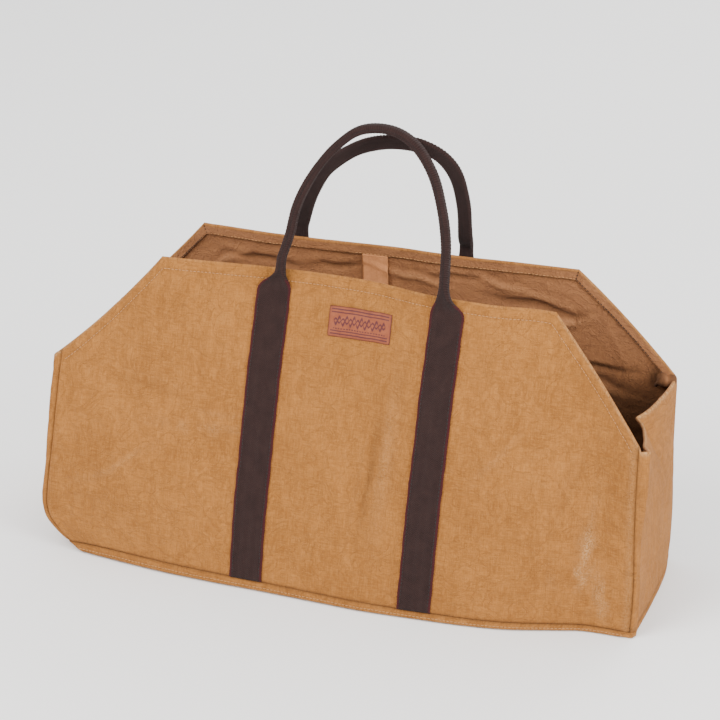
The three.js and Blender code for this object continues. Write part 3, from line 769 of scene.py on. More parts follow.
def gusset_piece(name, end):
    """A closed end with its crease, corners and rolled top edge."""
    v = np.concatenate([[0.0, 0.005, 0.012], np.linspace(0.02, 0.93, 72), END_TOP_ROWS])
    points = gusset_columns(end, v)
    normal = grid_normals(points)
    if normal[len(normal) // 2, len(v) // 4, 0] * end < 0:
        normal = -normal
    rising = unit(np.gradient(points, axis=1))
    n, rows = points.shape[:2]
    girth = path_run(points[:, rows // 2])
    u = np.repeat(girth[:, None], rows, 1)
    z = points[..., 2]
    seed = 60 + end
    middle = smooth(u / 12) * smooth((girth[-1] - u) / 12)
    relief = 0.9 * noise(u / 46, z / 52, seed) + 0.5 * noise(u / 19, z / 26, seed + 1)
    relief = relief + 0.6 * ridge(u / 33 + z / 90, z / 41, seed + 2, 8)
    relief = relief - 0.5 * ridge(u / 27 - z / 80, z / 47, seed + 3, 9)
    relief = relief * middle * fine("wrinkle_depth") / MM * smooth((z - 8) / 30)
    top = points[:, -1:, 2]
    relief = relief + 0.3 * hill(top - z - 9, 2.0) * middle
    seam_dip = np.zeros((n, 1))
    seam_dip[[0, -1]], seam_dip[[1, -2]] = -SEAM_DIP, -0.15
    foot_dip = np.zeros((1, rows))
    foot_dip[0, : len(END_FOOT_DIPS)] = END_FOOT_DIPS
    base = points + normal * relief[..., None]
    outer = base + normal * (seam_dip + foot_dip)[..., None]
    inner = base - normal * CLOTH
    inner[:, 0, 2] -= TUCK
    hem = np.clip((0.945 - v) / 0.012, 0, 1)
    inner = inner - normal * (END_HEM * (1 - hem))[None, :, None]
    half = (CLOTH + END_HEM) / 2
    out, up = normal[:, -1], rising[:, -1]
    centre = base[:, -1] - out * half
    roll_out, roll_in = [], []
    turns = ROLL_TURNS[1:]
    for turn in turns:
        a = math.radians(turn)
        roll_out.append(centre + half * (up * math.sin(a) + out * math.cos(a)))
        roll_in.append(centre + half * (up * math.sin(a) - out * math.cos(a)))
    outer = np.concatenate([outer, np.array(roll_out).transpose(1, 0, 2)], 1)
    inner = np.concatenate([inner, np.array(roll_in).transpose(1, 0, 2)], 1)
    u2 = np.concatenate([u, u[:, -1:].repeat(len(turns), 1)], 1)
    z2 = np.concatenate([z, z[:, -1:].repeat(len(turns), 1)], 1)
    edge = np.minimum(u2, girth[-1] - u2)
    # Darker at both end seams and at the foot: dust and painted shade.
    soil = 0.6 * hill(edge, 1.8) + 0.5 * hill(z2 - 10, 3.0)
    wear = 0.6 * hill(top - z2, 3.0)
    places = (np.stack([u2 + 400 * end, z2], -1), np.stack([u2 + 400 * end + 900, z2], -1))
    # The inner face darkens downward from the top edge: painted shade.
    inner_soil_and_shade = np.clip(soil + 0.95 * smooth((top + 4 - z2) / 30), 0, 1)
    zero = soil * 0
    marks = {"wear": (wear, wear * 0.5), "soil": (soil, inner_soil_and_shade), "inside": (zero, zero + 1)}
    return wall_mesh(name, outer, inner, places, marks)


def foot_ring():
    """Closed ring of points along the foot of the whole body."""
    low = np.zeros(1)
    parts = []
    for side in (FRONT, REAR):
        c = panel_columns(side, low, low)[::2, 0]
        line = panel_point(side, c, np.zeros_like(c))
        end = RIGHT if side == FRONT else LEFT
        turn = gusset_columns(end, low)[1:-1, 0]
        if side == REAR:
            line, turn = line[::-1], turn[::-1]
        parts += [line, turn]
    return np.concatenate(parts)


def bottom_piece(name):
    """Shallow tray of canvas: a rounded rim and a flat floor."""
    ring = foot_ring()
    keep = np.ones(len(ring), bool)
    keep[1:] = np.linalg.norm(np.diff(ring, axis=0), axis=1) > 0.4
    ring = ring[keep]
    near_left = np.clip(-ring[:, 0] / BODY_HALF, 0, 1) ** 6
    top = ring[:, 2] - SEAM_GAP / 2
    run = path_run(ring)
    rim = []
    for column in zip(*RIM):
        eased = np.interp(np.linspace(0, 3, 19), range(4), column)
        eased[1:-1] = np.convolve(eased, np.ones(3) / 3, "valid")
        rim.append(eased)
    flush = smooth((ring[:, 0] - FLUSH_FROM) / 12)

    def layer(off):
        """Rows from the seam down the rim and over the floor, inset by the cloth's thickness."""
        rows = []
        for a, h in zip(*rim):
            d = (a - min(a, 0) * flush) * BASE_ROUND + off
            dx = d + LEFT_BASE_TUCK * near_left * (1 - h)
            z = mix(off, top, h)
            sag = 0.5 * noise(run / 21, np.full_like(run, h * 3), 91) * (1 - abs(2 * h - 1))
            x = ring[:, 0] * (1 - (dx + sag) / BODY_HALF)
            rows.append(np.stack([x, ring[:, 1] * (1 - 2 * (d + sag) / BASE_DEPTH), z], -1))
        last = rows[-1]
        for k in np.linspace(0, 0.97, 30)[1:]:
            p = last * np.array([1 - k, 1 - k, 1])
            if off > 0:
                wavy = 0.5 + 0.5 * noise(p[:, 0] / 42, p[:, 1] / 31, 77)
                p[:, 2] = off + 0.9 * wavy * min(1, k * 8)
            rows.append(p)
        return np.array(rows).transpose(1, 0, 2)[:, ::-1]

    outer, inner = layer(0.0), layer(CLOTH)
    for row, dip in ((-1, 0.8), (-2, 0.3)):
        outer[:, row] += unit(outer.mean(0)[-1] - outer[:, row]) * np.array([1, 1, 0]) * dip
    flat = np.stack([outer[..., 0], outer[..., 1] + np.sign(outer[..., 1]) * outer[..., 2]], -1)
    # Darker just under the bottom seam: dust and painted shade.
    near_top = hill(top[:, None] - outer[..., 2], 1.8) * (1 - 0.8 * flush[:, None])
    zero = near_top * 0
    wear = 0.5 * hill(outer[..., 2], 2.5)
    marks = {"wear": (wear, zero), "soil": (0.6 * near_top, zero), "inside": (zero, zero + 1)}
    return wall_mesh(name, outer, inner, (flat, flat + 700), marks, closed=True)


def rounded_section(half_wide, half_thick, radius):
    """Points round a section with rounded corners, and how far across the webbing each one lies."""
    r = min(radius, half_wide, half_thick)
    flat, rise = half_wide - r, half_thick - r
    corner = [(flat + r * np.sin(t), rise + r * np.cos(t), 1) for t in np.radians([25, 50, 75])]
    half = [(a * flat, half_thick, a) for a in np.linspace(-1, 1, 15)] + corner
    half += [(half_wide, rise * k, 1) for k in (0.6, 0, -0.6)]
    half += [(x, -y, 1) for x, y, _ in reversed(corner)]
    whole = np.concatenate([half, -np.array(half)])
    return whole[:, :2], whole[:, 2]


def smooth_path(points, step):
    """Evenly spaced points on a smooth curve through the given ones."""
    p = np.asarray(points, float)
    p = np.concatenate([[2 * p[0] - p[1]], p, [2 * p[-1] - p[-2]]])
    out = []
    for i in range(1, len(p) - 2):
        p0, p1, p2, p3 = p[i - 1 : i + 3]
        d0, d1, d2 = (np.linalg.norm(b - a) ** 0.5 for a, b in ((p0, p1), (p1, p2), (p2, p3)))
        m1 = ((p1 - p0) / d0 - (p2 - p0) / (d0 + d1) + (p2 - p1) / d1) * d1
        m2 = ((p2 - p1) / d1 - (p3 - p1) / (d1 + d2) + (p3 - p2) / d2) * d1
        bend, turn = 3 * (p2 - p1) - 2 * m1 - m2, 2 * (p1 - p2) + m1 + m2
        for t in np.linspace(0, 1, 40, endpoint=False):
            out.append(p1 + m1 * t + bend * t**2 + turn * t**3)
    out.append(p[-2])
    out = np.array(out)
    run = path_run(out)
    even = np.linspace(0, run[-1], int(run[-1] / step) + 1)
    return along_path(even, run, out)


def handle_sections(side, start, finish):
    """Sections of the folded handle along its loop."""
    reach = np.array([STRAP_SPACING / 2, MOUTH_DEPTH / 2, HANDLE_RISE])
    loop = np.array([STRAP_MID[side], 0, BODY_HEIGHT]) + LOOP[side] * reach
    path = smooth_path([start, *loop, finish], 1.1)
    along = unit(np.gradient(path, axis=0))
    out = unit(np.cross(along, np.array([0.0, 1.0, 0.0])))
    across = unit(np.cross(out, along))
    wide, deep = HANDLE[side]
    sections = []
    for i in range(len(path)):
        breathe = 1 + 0.035 * math.sin(i * 0.107) * math.sin(i * 0.029 + side)
        breathe += 0.05 * math.sin(i * 1.9)
        pts, _ = rounded_section(wide / 2 * breathe, deep / 2, 0.42 * min(wide, deep))
        x, y = pts.T
        x = x + hill(y, 0.12 * deep) * (x < 0) * 0.9
        sections.append(path[i] + out[i] * x[:, None] + across[i] * y[:, None])
    return sections


def webbing_piece(name, side):
    """Strap, neck, handle, neck and strap in one length of webbing."""
    neck_foot = BODY_HEIGHT - NECK_HEIGHT
    wide, deep = HANDLE[side]

    def laid(end):
        goal = STRAP_MID[side] + LOOP[side][0 if end == LEFT else -1][0] * STRAP_SPACING / 2
        foot = float(seam_height(side, strap_centre(side, end, 0.0))) + 0.2
        flat = np.linspace(foot + 1.2, neck_foot, 104)
        heights = np.concatenate([[foot], flat, np.linspace(neck_foot, BODY_HEIGHT, 31)[1:]])
        late = NECK_LATE if side == FRONT and end == RIGHT else 0.0
        sections, folds = [], []
        for k, z in enumerate(heights):
            fold = float(follow(NECK_FOLD, (z - neck_foot) / NECK_HEIGHT - late))
            folds.append(fold)
            centre = mix(strap_centre(side, end, z / BODY_HEIGHT), goal, fold * 0.45)
            width, thick = mix(WEBBING_WIDTH, wide, fold), mix(WEBBING_THICKNESS, deep, fold)
            width += 0.35 * math.sin(z * 0.21 + end) * (1 - fold)
            radius = mix(0.85, 0.42 * min(wide, deep), fold)
            pts, _ = rounded_section(width / 2, thick / 2, radius)
            x, y = pts.T
            x = x + hill(y, 0.12 * deep) * (x < 0) * 0.9 * fold
            sink = TUCK if k == 0 else 0.0
            lift = 0.25 + thick / 2 + side * y - sink
            sections.append(on_panel(side, centre + end * x, np.full(len(x), z), lift))
        return sections, folds

    (rising, rising_folds), (falling, falling_folds) = laid(LEFT), laid(RIGHT)
    falling = falling[::-1]
    lift = np.array([0, 0, NECK_HEIGHT / 3])
    loop = handle_sections(side, rising[-1].mean(0) + lift, falling[0].mean(0) + lift)
    sections = np.array([*rising, *loop, *falling])
    count, girth = sections.shape[:2]
    sections = ease_joins(sections, (len(rising), len(rising) + len(loop)))
    run = path_run(sections.mean(1))
    _, place = rounded_section(1, 1, 0.1)
    faces = tube_faces(0, count, girth)
    flat = np.stack([np.tile(place * WEBBING_WIDTH / 2, count), np.repeat(run, girth)], -1)
    edge = np.tile((np.abs(place) > 0.97).astype(float), count)
    folds = np.array([*rising_folds, *[1.0] * len(loop), *falling_folds[::-1]])
    folded = np.repeat(smooth((folds - 0.4) / 0.2), girth)
    marks = {"selvedge": edge * (1 - folded), "soil": folded * 0.2}
    piece = make_mesh(name, sections.reshape(-1, 3), faces, flat, marks)
    turn_out(piece)
    return piece


def ease_joins(sections, joins):
    """Smooths the passage from neck to handle."""
    eased = sections.copy()
    for _ in range(6):
        for j in joins:
            for i in range(j - 5, j + 5):
                eased[i] = (eased[i - 1] + 2 * eased[i] + eased[i + 1]) / 4
    return eased


def label_piece(name):
    """Leather patch with softly rounded corners, pressed down at its edges."""
    s, h = np.linspace(-0.5, 0.5, 75), np.linspace(-0.5, 0.5, 33)
    gs, gh = patch_grid(s, h)
    corner = 0.985 - 0.02 * np.clip((np.abs(gs) + np.abs(gh) * 0.6 - 0.72) * 10, 0, 1)
    x = gs * LABEL_WIDTH * corner
    y = gh * LABEL_HEIGHT * corner + 0.25 * noise(gs * 9, gh * 2, 5)
    middle = BODY_HEIGHT - LABEL_DROP - LABEL_HEIGHT / 2
    c = LABEL_CENTRE + x * math.cos(LABEL_TILT) - y * math.sin(LABEL_TILT)
    z = middle + y * math.cos(LABEL_TILT) + x * math.sin(LABEL_TILT)
    border = np.minimum((0.5 - np.abs(gs)) * LABEL_WIDTH, (0.5 - np.abs(gh)) * LABEL_HEIGHT)
    crown = 0.35 * smooth(border / 5) - 0.55 * hill(border, 0.7)
    low = on_panel(FRONT, c, z, np.full_like(c, 0.2))
    high = on_panel(FRONT, c, z, LABEL_THICKNESS + crown)
    places = np.stack([gs * LABEL_WIDTH, gh * LABEL_HEIGHT], -1)
    rim = hill(border, 0.8)
    return wall_mesh(name, high, low, (places, places), {"rim": (rim, rim * 0 + 1)})


def tape_piece(name):
    """Tab of tape under the rear facing, its lower end standing off the panel."""
    top = BODY_HEIGHT - HEM_WIDTH + 0.5
    s, h = np.linspace(-0.5, 0.5, 25), np.linspace(1, 0, 60)
    gs, gh = patch_grid(s, h)
    c = TAPE_CENTRE - gs * TAPE_WIDTH
    z = top - gh * TAPE_LENGTH
    curl = 0.8 * noise(gs * 2 + 5, gh * 5, 33) * gh
    stand = TAPE_STAND_OFF * gh**2 + curl
    edge = (0.5 - np.abs(gs)) * TAPE_WIDTH
    swell = 0.35 * hill(edge, 1.4)
    near = on_panel(REAR, c, z, -(CLOTH + LAY_GAP + stand))
    far = on_panel(REAR, c, z, -(CLOTH + LAY_GAP + stand + TAPE_THICKNESS + swell))
    places = np.stack([gs * TAPE_WIDTH, gh * TAPE_LENGTH], -1)
    # Darker along both long edges of the tape: painted shade.
    rim = hill(edge, 1.0)
    return wall_mesh(name, far, near, (places, places), {"rim": (rim, rim)})


def stitch_mesh(name, lines):
    """Rows of short threads. Each line is its points and its outward directions."""
    length, thick = fine("stitch_length") / MM, fine("thread_width") / MM
    points, faces = [], []
    for line, out in lines:
        run = path_run(line)
        count = int(run[-1] / (length * 1.28))
        for i in range(count):
            mid = (i + 0.5) * run[-1] / count
            a, b = (along_path(mid + d * length, run, line) for d in (-0.5, 0.5))
            up = unit(along_path(mid, run, out))
            t = unit(b - a)
            side = unit(np.cross(t, up))
            jitter = 0.12 * thick * math.sin(i * 12.9898)
            start = len(points)
            for at, swell, rise in STITCH:
                centre = (a + b) / 2 + (b - a) * at + up * (rise * thick * 0.5) + side * jitter
                for k in range(THREAD_SIDES):
                    w = 2 * math.pi * k / THREAD_SIDES
                    around = side * math.cos(w) + up * math.sin(w)
                    points.append(centre + around * swell * thick / 2)
            faces += tube_faces(start, len(STITCH), THREAD_SIDES)
    piece = make_mesh(name, np.array(points), faces)
    turn_out(piece)
    return piece


def panel_line(side, c, z, lift, inward=False):
    """A line on a panel and its outward directions, ready for stitches."""
    normal, _ = panel_frame(side, c, np.clip(panel_share(side, c, z), *FACE_RANGE))
    points = on_panel(side, c, z, np.full_like(c, lift))
    return points, -normal if inward else normal


def hem_lines(side, share, lift, inward=False):
    """One row of stitches along the whole hem, following its corners."""
    turn = HEM_HALF[side] - mitre_inset(side) * share
    lines = []
    for a, b in ((-(BODY_HALF - 13), -turn), (-turn, turn), (turn, BODY_HALF - 11)):
        c = np.linspace(a, b, 160)
        z = mix(top_height(side, c), hem_low(side, c), share)
        lines.append(panel_line(side, c, z, lift, inward))
    return lines


def thread_lines():
    """Pale rows of stitches on the hems and beside the bottom seam."""
    lines = hem_lines(FRONT, OUTER_STITCH, 0.3) + hem_lines(REAR, OUTER_STITCH, 0.3)
    for side in (FRONT, REAR):
        lines.append(hem_lines(side, INNER_STITCH, -FOLD_THICKNESS, inward=True)[1])
    height, inset = 0.55, -0.25 * BASE_ROUND
    for side in (FRONT, REAR):
        c = np.linspace(-BODY_HALF + 24, BODY_HALF - 12, 300)
        foot = panel_point(side, c, np.zeros_like(c))
        drawn = np.array([1 - inset / BODY_HALF, 1 - 2 * (inset - 0.2) / BASE_DEPTH, height])
        lines.append((foot * drawn, unit(np.tile([0, side, -0.25], (len(c), 1)))))
    return lines


def mitre_lines():
    """Short rows of dark thread where the facings meet at the corners of the mouth, dark to stand
    in for the mitre folds' shadow lines: painted shadow.
    """
    lines = []
    for side in (FRONT, REAR):
        for end in (LEFT, RIGHT):
            share = np.linspace(0.06, 1, 12)
            c = end * (HEM_HALF[side] - mitre_inset(side) * share)
            z = BODY_HEIGHT - HEM_WIDTH * share
            lines.append(panel_line(side, c, z, -FOLD_THICKNESS - 0.1, inward=True))
    return lines


def tab_piece(name):
    """Loose fold of cloth inside the rear corner of the right end."""
    corner = panel_point(REAR, BODY_HALF, 1.0)
    s, h = np.linspace(0, 1, 40), np.linspace(0, 1, 24)
    gs, gh = patch_grid(s, h)
    swell = np.sin(np.pi * gs) ** 0.6
    x = corner[0] - 3 - 19 * gs + 1.5 * np.sin(gh * 5)
    y = corner[1] - 4.5 - (3 + 6.5 * swell) * np.sin(np.pi * gh * 0.95) - 1.6 * np.sin(gs * 11) * gh
    z = corner[2] + 2.5 * swell - 12 * gh + 1.8 * np.sin(gs * 9 + 1)
    near = np.stack([x, y, z], -1)
    normal = grid_normals(near)
    far = near - normal * CLOTH * np.sign(normal[20, 12, 1])
    places = np.stack([gs * 20 + 500, gh * 14], -1)
    # Painted shadow over the whole fold: dark throughout, darker at its side edges, lower down and
    # in bands across it.
    rim = 0.5 * hill(np.minimum(gs, 1 - gs), 1 / 12)
    rim = np.clip(rim + 0.6 + 0.5 * smooth((gh - 0.2) / 0.3) + 0.4 * np.sin(gs * 9 + 1), 0, 1)
    marks = {"wear": (gs * 0,) * 2, "soil": (rim, rim), "inside": (gs * 0 + 1,) * 2}
    return wall_mesh(name, near, far, (places, places), marks)


def strap_lines():
    """Dark rows of stitches inside both edges of every strap."""
    lines = []
    for side in (FRONT, REAR):
        for end in (LEFT, RIGHT):
            for edge in (-0.5, 0.5):
                z = np.linspace(18, BODY_HEIGHT - NECK_HEIGHT - 3, 160)
                c = strap_centre(side, end, z / BODY_HEIGHT) + edge * (WEBBING_WIDTH - 6.5)
                lines.append(panel_line(side, c, z, 0.22 + WEBBING_THICKNESS))
    return lines


class Tree:
    """Short calls for building a node tree."""

    def __init__(self, tree):
        self.tree = tree

    def fill(self, made, values):
        """Links or sets a node's sockets."""
        for key, value in values.items():
            if isinstance(value, bpy.types.NodeSocket):
                self.tree.links.new(value, made.inputs[key])
            else:
                made.inputs[key].default_value = value
        return made

    def node(self, kind, values=None, **settings):
        made = self.tree.nodes.new(kind)
        for key, value in settings.items():
            setattr(made, key, value)
        return self.fill(made, values or {})

    def use(self, tree, values):
        return self.node("ShaderNodeGroup", values, node_tree=tree).outputs

    def math(self, operation, a, b=0.0):
        return self.node("ShaderNodeMath", {0: a, 1: b}, operation=operation).outputs[0]

    def times(self, a, b):
        return self.math("MULTIPLY", a, b)

    def plus(self, a, b):
        return self.math("ADD", a, b)

    def minus(self, a, b):
        return self.math("SUBTRACT", a, b)

    def off(self, a, b=0.0):
        """Distance of one value from another."""
        return self.math("ABSOLUTE", self.minus(a, b) if b else a)

    def scaled(self, vector, amount):
        values = {0: vector, 1: amount}
        return self.node("ShaderNodeVectorMath", values, operation="MULTIPLY").outputs[0]

    def cloud(self, vector, scale, detail=2.0, rough=0.5, distortion=0.0):
        values = {"Vector": vector, "Scale": scale, "Detail": detail, "Roughness": rough}
        return self.node("ShaderNodeTexNoise", {**values, "Distortion": distortion}).outputs["Fac"]

    def blend(self, share, a, b):
        return self.node("ShaderNodeMix", {0: share, 6: a, 7: b}, data_type="RGBA").outputs[2]

    def level(self, value, low, high, to_low=0.0, to_high=1.0):
        values = {0: value, 1: low, 2: high, 3: to_low, 4: to_high}
        return self.node("ShaderNodeMapRange", values, clamp=True).outputs["Result"]

    def split(self, vector):
        return self.node("ShaderNodeSeparateXYZ", {0: vector}).outputs

    def bump(self, strength, distance, height, under=None):
        values = {"Strength": strength, "Distance": distance, "Height": height}
        if under:
            values["Normal"] = under
        return self.node("ShaderNodeBump", values).outputs[0]

    def place(self):
        return self.node("ShaderNodeUVMap", uv_map="cloth_place").outputs[0]

    def mark(self, name):
        return self.node("ShaderNodeAttribute", attribute_name=name).outputs["Fac"]


def group(name, inputs, outputs, build):
    """Shader node group with named sockets, built once."""
    if name in bpy.data.node_groups:
        return bpy.data.node_groups[name]
    tree = bpy.data.node_groups.new(name, "ShaderNodeTree")
    for label, kind, default in inputs:
        socket = tree.interface.new_socket(name=label, in_out="INPUT", socket_type=kind)
        if default is not None:
            socket.default_value = default
    for label, kind in outputs:
        tree.interface.new_socket(name=label, in_out="OUTPUT", socket_type=kind)
    t = Tree(tree)
    source = tree.nodes.new("NodeGroupInput")
    goal = tree.nodes.new("NodeGroupOutput")
    for label, socket in build(t, source.outputs).items():
        tree.links.new(socket, goal.inputs[label])
    return tree


def yarn_weave():
    """Plain weave: crossing yarns with slubs."""

    def build(t, given):
        place = given["Place"]
        count = t.math("DIVIDE", math.pi, given["Pitch"])
        x, y, _ = t.split(place)
        wobble = t.times(t.minus(t.cloud(place, 420.0), 0.5), 2.4)
        a = t.math("SINE", t.plus(t.times(x, count), wobble))
        b = t.math("SINE", t.plus(t.times(y, count), wobble))
        woven = t.plus(t.times(t.times(a, b), 0.5), 0.5)
        warp = t.cloud(t.scaled(place, (1.0, 0.06, 1.0)), 1100.0, 1.0)
        weft = t.cloud(t.scaled(place, (0.06, 1.0, 1.0)), 1100.0, 1.0)
        slub = t.times(t.plus(warp, weft), 0.5)
        return {"Height": t.plus(t.times(woven, 0.6), t.times(slub, 0.9)), "Slub": slub}

    return group(
        "yarn_weave",
        [("Place", VECTOR, None), ("Pitch", FLOAT, 0.0009)],
        [("Height", FLOAT), ("Slub", FLOAT)],
        build,
    )


def washed_cloth():
    """Cloudy fading and fine creases of washed canvas."""

    def build(t, given):
        place = given["Place"]
        broad = t.cloud(place, 9.0, 3.0, 0.55, 0.4)
        patchy = t.cloud(place, 55.0, 4.0, 0.62, 0.6)
        fleck = t.cloud(place, 380.0, 3.0, 0.65)
        streak = t.cloud(t.scaled(place, (1.0, 0.12, 1.0)), 150.0, 2.0, 0.5)
        cloudy = t.plus(t.times(broad, 0.9), t.times(patchy, 0.75))
        cloudy = t.plus(cloudy, t.times(t.plus(fleck, streak), 0.75))
        long = t.off(t.cloud(place, 34.0, 3.0, 0.55, 1.2), 0.5)
        short = t.off(t.cloud(place, 135.0, 2.0, 0.5, 1.5), 0.5)
        short = t.times(t.level(short, 0.0, 0.06, 1.0, 0.0), 0.7)
        crease = t.plus(t.level(long, 0.0, 0.035, 1.0, 0.0), short)
        height = t.plus(t.times(crease, 0.35), t.cloud(place, 120.0, 3.0, 0.6, 0.5))
        return {"Tone": t.level(cloudy, 1.3, 1.85), "Crease": crease, "Height": height}

    return group(
        "washed_cloth",
        [("Place", VECTOR, None)],
        [("Tone", FLOAT), ("Crease", FLOAT), ("Height", FLOAT)],
        build,
    )


def worn_colour():
    """Base colour lightened where the surface is faded, and darkened where it is soiled and where
    shade is painted.
    """

    def build(t, given):
        faded = t.blend(given["Wear"], given["Colour"], given["Faded"])
        return {"Colour": t.blend(given["Soil"], faded, given["Dark"])}

    colours = [(label, COLOUR, None) for label in ("Colour", "Faded", "Dark")]
    return group(
        "worn_colour",
        [*colours, ("Wear", FLOAT, 0.0), ("Soil", FLOAT, 0.0)],
        [("Colour", COLOUR)],
        build,
    )


def herringbone():
    """Twill ribs that change direction from stripe to stripe."""

    def build(t, given):
        x, y, _ = t.split(given["Place"])
        stripe = t.math("PINGPONG", x, given["Stripe"])
        count = t.math("DIVIDE", math.tau, given["Pitch"])
        wave = t.math("SINE", t.times(t.plus(y, t.times(stripe, 1.1)), count))
        cross = t.math("SINE", t.times(x, t.times(count, 1.25)))
        yarn = t.cloud(t.scaled(given["Place"], (1.0, 0.2, 1.0)), 700.0, 2.0)
        height = t.plus(t.times(wave, 0.5), t.times(cross, 0.18))
        return {"Height": t.plus(height, yarn), "Rib": t.plus(t.times(wave, 0.5), 0.5)}

    return group(
        "herringbone",
        [("Place", VECTOR, None), ("Pitch", FLOAT, 0.0016), ("Stripe", FLOAT, 0.0032)],
        [("Height", FLOAT), ("Rib", FLOAT)],
        build,
    )


def new_material(name):
    material = bpy.data.materials.new(name)
    material.use_nodes = True
    material.node_tree.nodes.clear()
    t = Tree(material.node_tree)
    shader = t.node("ShaderNodeBsdfPrincipled")
    t.node("ShaderNodeOutputMaterial", {0: shader.outputs[0]})
    return material, t, shader


def canvas_material():
    material, t, shader = new_material("washed_canvas")
    place = t.place()
    cloth = t.use(washed_cloth(), {"Place": place})
    weave = t.use(yarn_weave(), {"Place": place, "Pitch": fine("canvas_pitch")})
    base = t.blend(cloth["Tone"], tone("canvas_dark"), tone("canvas_light"))
    base = t.blend(t.level(weave["Slub"], 0.46, 0.6, 0.0, 0.45), base, tone("canvas_slub"))
    base = t.blend(t.level(weave["Slub"], 0.48, 0.36, 0.0, 0.35), base, tone("canvas_dark"))
    # Darker along the fine creases: painted shade.
    base = t.blend(t.times(cloth["Crease"], 0.45), base, tone("canvas_dark"))
    base = t.blend(t.times(t.mark("inside"), 0.55), base, tone("canvas_inner"))
    patch = t.level(t.cloud(place, 520.0, 3.0, 0.65), 0.42, 0.6, 0.1, 1.0)
    worn = t.use(worn_colour(), {
        "Colour": base,
        "Faded": tone("canvas_faded"),
        "Dark": tone("seam_dark"),
        "Wear": t.times(t.mark("wear"), patch),
        # The soil mark carries dust at the seams and painted shade in creases, along hem edges,
        # deep inside and beside the corner fold.
        "Soil": t.times(t.mark("soil"), 0.8),
    })
    soft = t.bump(0.8, 0.0015, cloth["Height"])
    t.fill(shader, {
        "Base Color": worn["Colour"],
        "Roughness": 0.95,
        "Specular IOR Level": 0.1,
        "Sheen Weight": 0.03,
        "Sheen Roughness": 0.5,
        "Normal": t.bump(0.6, 0.0004, weave["Height"], soft),
    })
    return material


def canvas():
    """The canvas shared by the pieces, built once."""
    return bpy.data.materials.get("washed_canvas") or canvas_material()


def webbing_material():
    material, t, shader = new_material("twill_webbing")
    place = t.place()
    twill = t.use(herringbone(), {"Place": place, "Pitch": fine("twill_pitch"), "Stripe": 0.005})
    cloudy = t.level(t.cloud(place, 60.0, 4.0, 0.6, 0.3), 0.1, 0.9)
    base = t.blend(cloudy, tone("webbing_dark"), tone("webbing_light"))
    base = t.blend(t.times(twill["Rib"], 0.7), base, tone("webbing_light"))
    t.fill(shader, {
        "Base Color": t.blend(t.times(t.mark("selvedge"), 0.68), base, tone("webbing_edge")),
        "Roughness": 0.9,
        "Specular IOR Level": 0.12,
        "Sheen Weight": 0.03,
        "Normal": t.bump(0.9, 0.0006, twill["Height"]),
    })
    return material


def leather_material():
    material, t, shader = new_material("printed_leather")
    place = t.place()
    x, y, _ = t.split(place)
    y = t.plus(y, t.times(t.minus(t.cloud(place, 90.0), 0.5), 0.0007))
    turn = t.times(x, math.tau / 0.0088)

    def line(value, at, half):
        return t.level(t.off(value, at), half * 0.6, half * 1.5, 1.0, 0.0)

    border = [line(t.off(y), at, half) for at, half in ((0.0128, 0.0007), (0.0097, 0.0006))]
    ink = t.math("MAXIMUM", *border)
    within = t.level(t.off(x), 0.0305, 0.0312, 1.0, 0.0)
    ink = t.times(ink, t.level(t.off(x), 0.0338, 0.0345, 1.0, 0.0))
    swell = t.plus(t.times(t.math("COSINE", t.times(x, 52.0)), 0.0014), 0.0034)
    wave = t.times(t.math("SINE", turn), swell)
    pen = t.plus(t.times(t.math("COSINE", turn), 0.0007), 0.0016)
    level = t.minus(y, 0.0012)
    gap = t.off(level, wave)
    twin = t.off(t.plus(level, t.times(wave, 0.55)))
    strands = t.math("MINIMUM", t.math("DIVIDE", gap, pen), t.math("DIVIDE", twin, 0.001))
    scroll = t.level(strands, 0.6, 1.5, 1.0, 0.0)
    dash = t.math("PINGPONG", x, 0.0016)
    dots = t.times(line(y, -0.0071, 0.0006), t.level(dash, 0.0004, 0.0007, 0.0, 1.0))
    motif = t.times(t.math("MAXIMUM", scroll, dots), within)
    worn = t.level(t.cloud(place, 900.0, 2.0), 0.3, 0.5, 0.7, 1.0)
    ink = t.times(t.math("MAXIMUM", ink, motif), worn)
    grain = t.node("ShaderNodeTexVoronoi", {"Vector": place, "Scale": 1300.0}).outputs["Distance"]
    cloudy = t.level(t.cloud(place, 110.0, 4.0, 0.6), 0.3, 0.7)
    base = t.blend(cloudy, tone("leather_dark"), tone("leather_light"))
    base = t.blend(t.times(ink, 0.85), base, tone("leather_ink"))
    height = t.minus(t.times(grain, 0.4), t.times(ink, 0.6))
    t.fill(shader, {
        "Base Color": t.blend(t.times(t.mark("rim"), 0.75), base, tone("leather_ink")),
        "Roughness": t.level(grain, 0.0, 0.6, 0.5, 0.68),
        "Specular IOR Level": 0.28,
        "Normal": t.bump(0.5, 0.0004, height),
    })
    return material


def tape_material():
    material, t, shader = new_material("woven_tape")
    place = t.place()
    twill = t.use(herringbone(), {"Place": place, "Pitch": 0.0021, "Stripe": 0.0046})
    cloth = t.use(washed_cloth(), {"Place": place})
    base = t.blend(cloth["Tone"], tone("tape_dark"), tone("tape_light"))
    base = t.blend(t.times(twill["Rib"], 0.25), base, tone("tape_light"))
    t.fill(shader, {
        # The rim mark darkens the tape's edges as painted shade.
        "Base Color": t.blend(t.times(t.mark("rim"), 0.6), base, tone("tape_dark")),
        "Roughness": 0.9,
        "Specular IOR Level": 0.2,
        "Normal": t.bump(0.6, 0.0004, twill["Height"]),
    })
    return material


def thread_material(name, key):
    material, t, shader = new_material(name)
    twist = t.cloud(t.node("ShaderNodeTexCoord").outputs["Object"], 1400.0, 2.0)
    t.fill(shader, {
        "Base Color": t.blend(t.level(twist, 0.3, 0.7), shade(tone(key), 0.62), tone(key)),
        "Roughness": 0.8,
        "Normal": t.bump(0.5, 0.0001, twist),
    })
    return material


